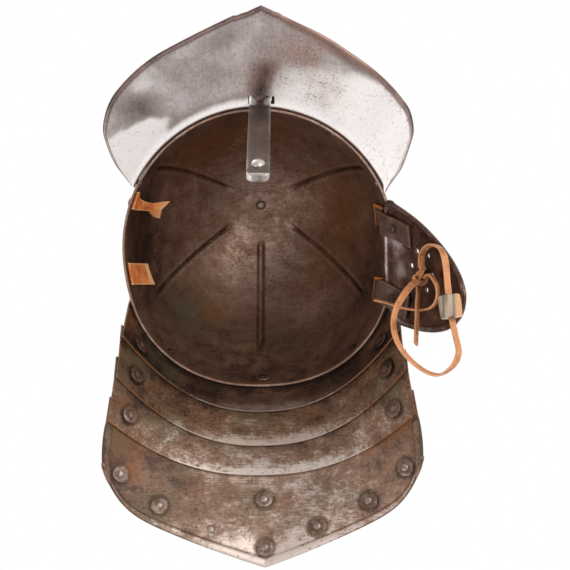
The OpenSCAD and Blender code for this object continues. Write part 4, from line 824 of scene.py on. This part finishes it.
# rivets of the last lame, whose washers stand off it least at the rim, and the three of the first one
for kind, gap in (("outer", 0.75), ("middle", 1.5), ("bare", 0.0)):
    group = [(down, side) for side, down, washer in EDGE
             if kind == ("bare" if not washer else "middle" if side == 0 else "outer")]
    spots = [(skew(lame_face(4, *place)), skew(lame_out(4, *place))) for place in group]
    under = 0.25 if kind == "bare" else WASHER_T + gap + 0.25
    rivets = turned("edge_rivets_" + kind, headed(7.4, 2, LAME_T + 0.25, 4, -under, 1.3, 6), spots,
                    rivet_look, uneven=0.05, seed=31, wear_and_painted_light=0.65)
    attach(rivets, "lame_4")
    if kind != "bare":
        washers = turned("edge_washers_" + kind, washer_line(WASHER_D, -WASHER_T - gap), spots, rivet_look,
                         corners=8, uneven=0.07, seed=33, wear_and_painted_light=0.32)
        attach(washers, "lame_4")
    if kind == "outer":
        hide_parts("edge_rivets")
        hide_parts("edge_washers")
hold = []
for u, z in ((0, 14.5), (-0.72, 11), (0.72, 11)):
    x = RIM_HALF * u
    slope = (skull_y(x + 1, z, 0) - skull_y(x - 1, z, 0)) / 2
    drop = (skull_y(x, z - 1, 0) - skull_y(x, z + 1, 0)) / 2
    hold.append((skew(vec(x, skull_y(x, z, 0), z)), skew(unit(vec(-slope, 1.0, drop)))))
for name, some, under in (("lame_1_rear_rivet", hold[:1], WALL + WASHER_T + 0.45),
                          ("lame_1_side_rivets", hold[1:], WALL + 0.8)):
    rivets = turned(name, headed(8.4, 2.2, LAME_T + SKULL_GAP + 0.4, 4, -under, 1.2, 6), some, skull_look,
                    uneven=0.04, seed=5, wear_and_painted_light=-0.5)
    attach(rivets, "skull_body")
    if name == "lame_1_rear_rivet":
        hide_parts("lame_1_rivets")
washer = turned("lame_1_washer_iron", washer_line(12, -WALL - WASHER_T - 0.3), hold[:1], rivet_look,
                corners=8, uneven=0.04, seed=6)
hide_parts("lame_1_washer")
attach(washer, "skull_body")

# Cheek-piece
# A dished plate of 1.5 mm iron with a turned edge, hung from the two straps, with a ring of
# ear holes. Blackened and glossy inside, with painted highlights on its dents and along its turned edge.
HINGE, SPLAY = np.array([90.2, 0, -3.0]), math.radians(25)
# middle, width, lowest point, thickness, top and deepest point, measured down from the hinge
CHEEK_Y, CHEEK_W, CHEEK_L, CHEEK_T, TOP_S, DEEP_S = 4.5, 92.0, 122.0, 1.5, 2.0, 52
# place of the middle ear hole, width of a hole, and radius of their ring
EAR_Y, EAR_S, EAR_D, EAR_RING = 4.0, 48.0, 4.2, 15


def hang(p):
    """The hanging frame, x outward and -z down the plate, turned 25 degrees outward at the hinge."""
    return HINGE + vec(p[..., 0] * math.cos(SPLAY) - p[..., 2] * math.sin(SPLAY), p[..., 1],
                       p[..., 0] * math.sin(SPLAY) + p[..., 2] * math.cos(SPLAY))


def dish(y, s):
    """Depth of the dished plate: 9 mm at the middle, falling with the squares of both distances."""
    a, high = (y - CHEEK_Y) / (CHEEK_W / 2), np.asarray(s) < DEEP_S
    b = np.where(high, (DEEP_S - s) / 51, (s - DEEP_S) / (CHEEK_L * 0.58))
    return 2.2 + 9 * np.maximum(0, 1 - 0.6 * a * a - np.where(high, 0.95, 0.75) * b * b)


g = np.radians(np.arange(0, 360, 2.0))[None]
k = np.concatenate([np.linspace(0, 0.905, 44), [0.915, 0.925, 0.94, 0.955, 0.97, 0.985, 1]])[:, None]
gs, gc = np.sin(g), np.cos(g)
# the front half of the outline has a square upper corner and a straight edge, the rear half is round
front = gc < 0
wide = np.where(front, 14.0, 28.0)
rim_y = CHEEK_Y + CHEEK_W / 2 * np.where((gs < 0) & front, power(gc, 0.42), gc)
rim_s = wide + np.where(gs >= 0, (CHEEK_L - wide) * np.abs(gs) ** np.where(front, 2 / 0.9, 2 / 1.8),
                        (TOP_S - wide) * np.abs(gs) ** np.where(front, 0.5, 1.0))
py, ps = mix(EAR_Y + EAR_D / 2 * gc, rim_y, k), mix(EAR_S + EAR_D / 2 * gs, rim_s, k)
dent = 1.1 * beaten(vec(py, ps, 0), 34, 71) * smooth(0.05, 0.3, k) * (1 - smooth(0.75, 0.9, k))
flat = vec(dish(py, ps) + dent, py, -ps)
turn = np.interp(k, [0.905, 0.915, 0.925, 0.94, 0.955, 0.97, 0.985, 1], [0, 0.6, 0.85, 1, 1, 0.85, 0.6, 0.2])
swell = (HEM - CHEEK_T) / 2 * turn
cheek_look = iron("iron, blackened and waxed", "#33231d", "#6f5145", "#c9c2c2", "#6f4636", rough=(0.28, 0.44),
                  rust_share=0.4, pits=0.3, bump=0.35)
# painted highlights where light catches it near the upper edge and along the turned edge, and a redder
# patch low at the rear
here = vec(py, ps)
shine = 0.45 * turn - 0.1 + patches(here, (1.0, -9, 18, 8), (0.8, 10, 22, 7), (0.3, 33, 24, 12))
warm = patches(here, (0.9, 31, 75, 26), (0.5, -25, 40, 16))
outside = np.array([math.cos(SPLAY), 0, math.sin(SPLAY)])
cheek = plate("cheek_iron", hang(flat), np.broadcast_to(outside, flat.shape), -swell, CHEEK_T + swell,
              cheek_look, ring=True, layers={"wear_and_painted_light": shine, "warm": warm}, nose=0.2)
# six holes in a ring round the one in the middle, punched straight through
holes = [(hang(vec(0, EAR_Y + EAR_RING * math.cos(a), -EAR_S - EAR_RING * math.sin(a))), outside)
         for a in np.radians(np.arange(30, 360, 60))]
punch = turned("punch", [[0, -5], [EAR_D / 2, -5], [EAR_D / 2, 30], [0, 30]], holes, cheek_look, around=24)
cut = cheek.modifiers.new("ear holes", "BOOLEAN")
cut.object, cut.solver = punch, "EXACT"
bpy.context.view_layer.objects.active = cheek
bpy.ops.object.modifier_apply(modifier=cut.name)
bpy.data.objects.remove(punch)
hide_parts("cheek_plate")
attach(cheek, "cheek")

# Straps
# Vegetable-tanned leather 2.4 mm thick, darkened by wear, riveted inside the skull and inside the
# cheek-piece. One strap bends across the hinge line on each side of the ear.
# width, thickness, gap to the skull, how far it leans inward at the rim, and the height it does so from
STRAP_W, STRAP_T, LAY, TUCK, LEAN_FROM = 17.0, 2.4, 0.5, 7.3, 16.0
# each strap: y at the rim, lean back going up, upper end, slant of its cut, y at the hinge, lean back going
# down, and height of its rivet
STRAPS = {"front": (-22, 0.16, 58, 0, -23, 0.12, 34), "rear": (31.5, 0.24, 40, -6, 29, 0.18, 24)}
# y and lean of the torn straps, how far below the hinge the cheek's rivets sit, and x (in metres) within
# which a rivet's head is an inner one
TORN_Y, TORN_LEAN, CHEEK_RIVET_S, INNER_X = (-37.9, 18.5), 0.29, 17.0, 0.0945


def leather(name, deep, main, worn, cut, rough=0.55, weave=1.0):
    """Old leather: main colour with darker blotches of 17 mm and lighter rubbed grain of 3 mm, the raw cut
    colour where the layer "cut" is 1, and fine creases as bump."""
    look, t = blank(name)
    at = add(t, "TexCoord", out="Object")
    raw = add(t, "Attribute", out="Fac", attribute_name="cut")
    blotch = add(t, "TexNoise", [("Vector", at), ("Scale", 60), ("Detail", 5), ("Roughness", 0.6)])
    grain = add(t, "TexVoronoi", [("Vector", at), ("Scale", 900)], out="Distance", feature="DISTANCE_TO_EDGE")
    crease = add(t, "TexNoise", [("Vector", at), ("Scale", 300 * weave), ("Detail", 4), ("Roughness", 0.65),
                                 ("Distortion", 0.6)])
    even, rubbed = (
        add(t, "MapRange", [(0, part), (1, low), (2, high), (4, most)], interpolation_type="SMOOTHSTEP")
        for part, low, high, most in ((blotch, 0.35, 0.6, 1), (crease, 0.5, 0.72, 0.7)))
    colour = tone(deep)
    for share, tint in ((even, main), (rubbed, worn), (raw, cut)):
        colour = add(t, "Mix", [(0, share), (6, colour), (7, tone(tint))], out=2, data_type="RGBA")
    dull = add(t, "MapRange", [(0, crease), (3, rough + 0.12), (4, rough - 0.12)])
    height = add(t, "Math", [(0, grain), (1, 1.2), (2, crease)], operation="MULTIPLY_ADD")
    cover(t, colour, height, 0.35, 0.0005, ("Roughness", dull))
    return look


def wall_x(y, z, off):
    """Half width of the skull's inside at y and height z, off mm inside it: the bowl's own superellipse."""
    s = np.sqrt(np.maximum(0, 1 - (z / (SKULL_H - WALL)) ** 2))
    a, b = (SKULL_A - WALL) * s - off, (SKULL_B - WALL) * s - off
    yy = y - CREST * (1 - s * s)
    r = np.abs(yy) / b
    first = mix(2, FULL, smooth(0, 0.5, r))
    n = np.where(yy > 0, mix(2, FULL, smooth(0, 0.5, np.maximum(r, 0.001) ** (first / 2))), 2.0)
    return a * np.maximum(0, 1 - r ** n) ** (1 / n)


def band(name, sides, look, raw):
    """A strap between the grids of its face towards the wearer and of its back."""
    inner, outer = sides
    return plate(name, inner, unit(outer - inner), 0, np.linalg.norm(outer - inner, axis=-1), look,
                 layers={"cut": raw}, nose=0.7)


strap_look = leather("strap leather, dark brown", "#38261e", "#573e31", "#75574a", "#d07f42", rough=0.42)
stub_look = leather("strap leather, orange tan", "#c2642c", "#ee8b49", "#f0a76c", "#ecb682", rough=0.6)
across = np.linspace(-1, 1, 13)[None]
rim_wear = smooth(0.8, 1.0, np.abs(across))
for name, (y0, lean, top, slant, y1, back, _) in STRAPS.items():
    # up the skull's wall from the rim, and down the cheek-piece from the hinge
    z = mix(top + slant * across, -1.5, np.linspace(0, 1, 46)[:, None])
    y = y0 + lean * z + across * STRAP_W / 2
    tuck = TUCK * (1 - smooth(-1.5, LEAN_FROM, z))
    up_in, up_out = (vec(wall_x(y, np.maximum(z, 0), off) - tuck, y, z) for off in (LAY + STRAP_T, LAY))
    s = np.linspace(3.0, 34, 28)[:, None]
    y = y1 + back * s + across * STRAP_W / 2
    n = np.where(s < 8, dish(y, 8) * smooth(0, 8, s), dish(y, s)) - 0.95 * (1 - smooth(12, 18, s))
    down_in, down_out = (hang(vec(n + off, y, -s)) for off in (-STRAP_T - 0.3, -0.3))
    both = [np.concatenate([up_in, down_in]), np.concatenate([up_out, down_out])]
    # the bend between them is eased: each row moves to the mean of itself and its neighbours, 14 times
    for grid in both:
        for _ in range(14):
            grid[42:52] = (grid[41:51] + grid[43:53] + 2 * grid[42:52]) / 4
    raw = 0.1 * np.repeat(rim_wear, len(both[0]), 0)
    raw[:2] = 1
    raw[:30, :2] = 0.9
    strap = band("strap_" + name, both, strap_look, raw)
    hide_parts("strap_skull_" + name, "strap_cheek_" + name)
    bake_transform(strap)

# the front right strap tears down to a neck and forks, and stands off the wall there
r = np.linspace(0, 1, 50)[:, None]
upper = mix(-7.3, -0.4, smooth(0, 0.7, r)) - 2 * smooth(0.75, 1, r)
lower = 5.9 + 5.3 * smooth(0.72, 1, r)
curl = 6 * smooth(0.36, 0.75, r) + (5.25 - 2.25 * across) * (np.maximum(0, r - 0.7) / 0.3) ** 1.5
for name, y0, z, side, curl, frayed in (
        ("front", TORN_Y[0], mix(9, 62 + np.where(across < 0, 8, 5) * np.abs(across), r),
         mix(upper, lower, (across + 1) / 2), curl, 0.8 * smooth(0.85, 1, r)),
        ("rear", TORN_Y[1], mix(7, 58.5 + across, r), across * STRAP_W / 2, 0, smooth(0.84, 0.88, r))):
    y = y0 + TORN_LEAN * z + side
    sides = [vec(-wall_x(y, z, off + curl), y, z) for off in (LAY + STRAP_T, LAY)]
    stub = band("torn_strap_" + name, sides, stub_look, np.maximum(rim_wear, frayed))
    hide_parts("stub_" + name)
    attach(stub, "skull_body")


def strap_spot(y0, lean, side, z0):
    """Point on the skull's inside wall behind a strap's middle, and the direction out through the wall: the
    cross product of its steps across and up."""
    dy, dz = np.array([(-0.8, 0), (0.8, 0), (0, 1), (0, -1), (0, 0)]).T
    z = z0 + dz
    y = y0 + lean * z + dy
    p = vec(side * wall_x(y, z, 0.0), y, z)
    way = unit(np.cross(p[1] - p[0], p[2] - p[3]))
    return p[4], way * np.sign(way[0] * side)


# their inner heads are rubbed with the leather's own colour, and the outer ones are bare iron
whole = [strap_spot(y0, lean, 1, z) for y0, lean, *_, z in STRAPS.values()]
torn = [strap_spot(y0, TORN_LEAN, -1, z) for y0, z in zip(TORN_Y, (24, 26))]
for name, node, spots, look in (("strap_rivets", "strap_skull_rivets", whole, strap_look),
                                ("torn_strap_rivets", "stub_rivets", torn, stub_look)):
    rivets = turned(name, headed(8.4, 2.2, WALL + 0.1, 4, -STRAP_T - 0.75, 1.1, 6.4), spots, rivet_look,
                    uneven=0.05, seed=41)
    rivets.data.materials.append(look)
    for side in rivets.data.polygons:
        side.material_index = int(abs(side.center.x) < INNER_X)
    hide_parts(node)
    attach(rivets, "skull_body")
spots = []
for *_, y1, back, _ in STRAPS.values():
    y = y1 + back * CHEEK_RIVET_S
    spots.append((hang(vec(dish(y, CHEEK_RIVET_S), y, -CHEEK_RIVET_S)), outside))
rivets = turned("cheek_strap_rivets", headed(8.4, 2.2, CHEEK_T + 1, 4, -STRAP_T - 1.8, 1.1, 6.4), spots,
                rivet_look, uneven=0.05, seed=43, wear_and_painted_light=0.1)
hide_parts("strap_cheek_rivets")
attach(rivets, "cheek")

# Thong
# A cut strip of tan leather, 5 mm wide and 1.9 mm thick, tied in an overhand knot against the middle
# ear hole. Its loop carries a tube of horn, and its two ends are cut off square.
# width, thickness, radius of the knot, squareness of the section, and points round it
THONG_W, THONG_T, KNOT_R, OVAL, SIDES = 5.0, 1.9, 6.8, 3.2, 18
KNOT = hang(vec(dish(EAR_Y, EAR_S + 6.8) - 6.0, EAR_Y + 2.9, -EAR_S - 6.8))
# points on the three runs, in mm from the knot's middle
LOOP = np.array([KNOT_R * unit(np.array([0.4, -1, -0.3])), (0.6, -12, -3.8), (1.6, -22, -7.8),
                 (6.5, -30.5, -21.3), (12.2, -32.5, -40), (14.6, -26.8, -50.9), (15.7, -14, -61.3),
                 (16.7, -4.5, -66.4), (18.2, 7.5, -70.8), (20.8, 19.5, -79.5), (22.2, 27.5, -92.1),
                 (17.9, 33.6, -102.1), (9.1, 38.2, -108.1), (0.8, 37.2, -108.1), (-8.3, 33, -102.1),
                 (-16.3, 27, -92.1), (-21, 20.5, -81.1), (-22.2, 13.2, -68.1), (-19.7, 6.3, -56),
                 (-13.3, 1.5, -38), (-7, 0.5, -18), KNOT_R * unit(np.array([-0.35, 0.1, -1]))])
END_A = np.array([KNOT_R * unit(np.array([-0.3, 0.9, -0.7])), (-1.6, 9.1, -10.5), (-2.6, 14, -18.5),
                  (-3.4, 20.1, -29.5), (-4.3, 27, -41.5), (-5.2, 34.1, -52.5)])
END_B = np.array([KNOT_R * unit(np.array([0.75, -0.35, -1])), (6.2, -6.2, -14), (8.6, -5.6, -25),
                  (10.4, -3, -35), (10.2, 4.5, -39), (6.6, 13.7, -30.4), (-1.4, 20.8, -12.6),
                  (-13, 25.2, 8.5), (-23, 26.8, 26), (-30, 28.4, 37)])
thong_look = leather("thong leather, tan", "#965a34", "#cb8656", "#e2af86", "#dc9d6c", rough=0.62, weave=1.4)


def lace(name, line, side, seed, closed=False):
    """A flat strip along line: an oval section, |x|^3.2 + |y|^3.2 = 1, whose width lies along side, with
    small seeded changes of width."""
    n = len(line)
    ahead = unit(np.roll(line, -1, 0) - np.roll(line, 1, 0)) if closed else unit(np.gradient(line, axis=0))
    s = unit(side - ahead * np.sum(side * ahead, -1, keepdims=True))
    up = np.cross(ahead, s)
    a = np.linspace(0, 2 * np.pi, SIDES, endpoint=False)[None, :, None]
    wide = THONG_W * (1 + 0.05 * beaten(line, 14, seed))[:, None, None]
    points = line[:, None] + s[:, None] * power(np.cos(a), 2 / OVAL) * wide / 2
    points = points + up[:, None] * power(np.sin(a), 2 / OVAL) * THONG_T / 2
    tip = np.arange(SIDES)[None]
    faces = ([lattice(n, SIDES, closed, True).reshape(-1, 4)]
             + ([] if closed else [tip[:, ::-1], tip + (n - 1) * SIDES]))
    raw = np.broadcast_to(0.75 * np.abs(np.cos(a[..., 0])) ** 3, (n, SIDES))
    return put(name, points, faces, thong_look, {"cut": raw}, 45)


loop_line, a_line, b_line = (KNOT + flow(marks, 8) for marks in (LOOP, END_A, END_B))
k = np.linspace(0, 1, len(loop_line))[:, None]
loop_side = unit(mix(np.array([0.9, 0.2, 0.2]), np.array([0.6, 0.1, 0.8]), smooth(0.3, 0.55, k)))
loop = lace("thong_loop_leather", loop_line, loop_side, 51)
end_a = lace("thong_end_long", a_line, np.array([0.47, 0.5, 0.62]), 52)
end_b = lace("thong_end_short", b_line, np.array([0.45, 0.2, 0.87]), 53)
# the knot is a trefoil, x = sin t + 2 sin 2t, y = cos t - 2 cos 2t, z = -sin 3t, drawn tight
t = np.linspace(0, 2 * np.pi, 150, endpoint=False)[:, None]
a, b, c = frame_of((0.75, -0.2, -0.65))
tre = ((np.sin(t) + 2 * np.sin(2 * t)) * a * 1.6 + (np.cos(t) - 2 * np.cos(2 * t)) * b * 1.6
       - np.sin(3 * t) * c * 2.4)
knot = lace("knot", KNOT + tre, c + 0.6 * unit(tre), 54, closed=True)
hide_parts("thong_loop")
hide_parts("thong_ends")
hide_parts("thong_knot")
for piece in (loop, end_a, end_b, knot):
    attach(piece, "cheek")

# Toggle
# A short tube of pale horn, sawn off at both ends and worn smooth, that slides on the loop.
# Its growth shows as soft brown streaks along it, and one side is stained tan by the thong.
# diameter, length, and play round the thong
TOGGLE_D, TOGGLE_L, PLAY = 16.0, 16.0, 0.45
coarse = KNOT + flow(LOOP, 4)
toggle_at, toggle_way = coarse[30], unit(coarse[34] - coarse[26])
horn, t = blank("horn, pale and streaked")
at = add(t, "TexCoord", out="Object")
along = add(t, "Mapping", [("Vector", at), ("Scale", (420, 26, 60))])
streak = add(t, "TexNoise", [("Vector", along), ("Scale", 1), ("Detail", 3)])
shade = add(t, "MapRange", [(0, streak), (1, 0.35), (2, 0.68)], interpolation_type="SMOOTHSTEP")
side = add(t, "SeparateXYZ", [(0, at)])
side = add(t, "MapRange", [(0, side), (1, toggle_at[0] / 1000 + 0.0025), (2, toggle_at[0] / 1000 + 0.0045)])
colour = tone("#665749")
for share, tint in ((shade, "#ad9781"), (side, "#d39c68")):
    colour = add(t, "Mix", [(0, share), (6, colour), (7, tone(tint))], out=2, data_type="RGBA")
cover(t, colour, streak, 0.2, 0.0005, ("Roughness", 0.4), ("IOR", 1.54))
bore, r, half = math.hypot(THONG_W, THONG_T) / 2 + PLAY, TOGGLE_D / 2, TOGGLE_L / 2
tube = [[bore, half - 0.4], [bore + 0.4, half], [r - 1.0, half - 0.1], [r - 0.5, half - 0.6], [r - 0.1, 2],
        [r, -2], [r - 0.1, -half + 0.8], [r - 0.7, -half + 0.1], [bore + 0.4, -half], [bore, -half + 0.4]]
toggle = turned("toggle_horn", tube, [(toggle_at, toggle_way)], horn, uneven=0.03, seed=61, around=48)
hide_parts("thong_toggle")
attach(toggle, "toggle")

# Bracket and set screw
# The forged staple over the bar and its thumb screw, seen only from outside, keep the solids'
# own shapes and take the dark patina.
for name in ("nasal_bracket", "bracket_rivets", "set_screw"):
    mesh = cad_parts[name].data
    mesh.materials.clear()
    mesh.materials.append(rivet_look)
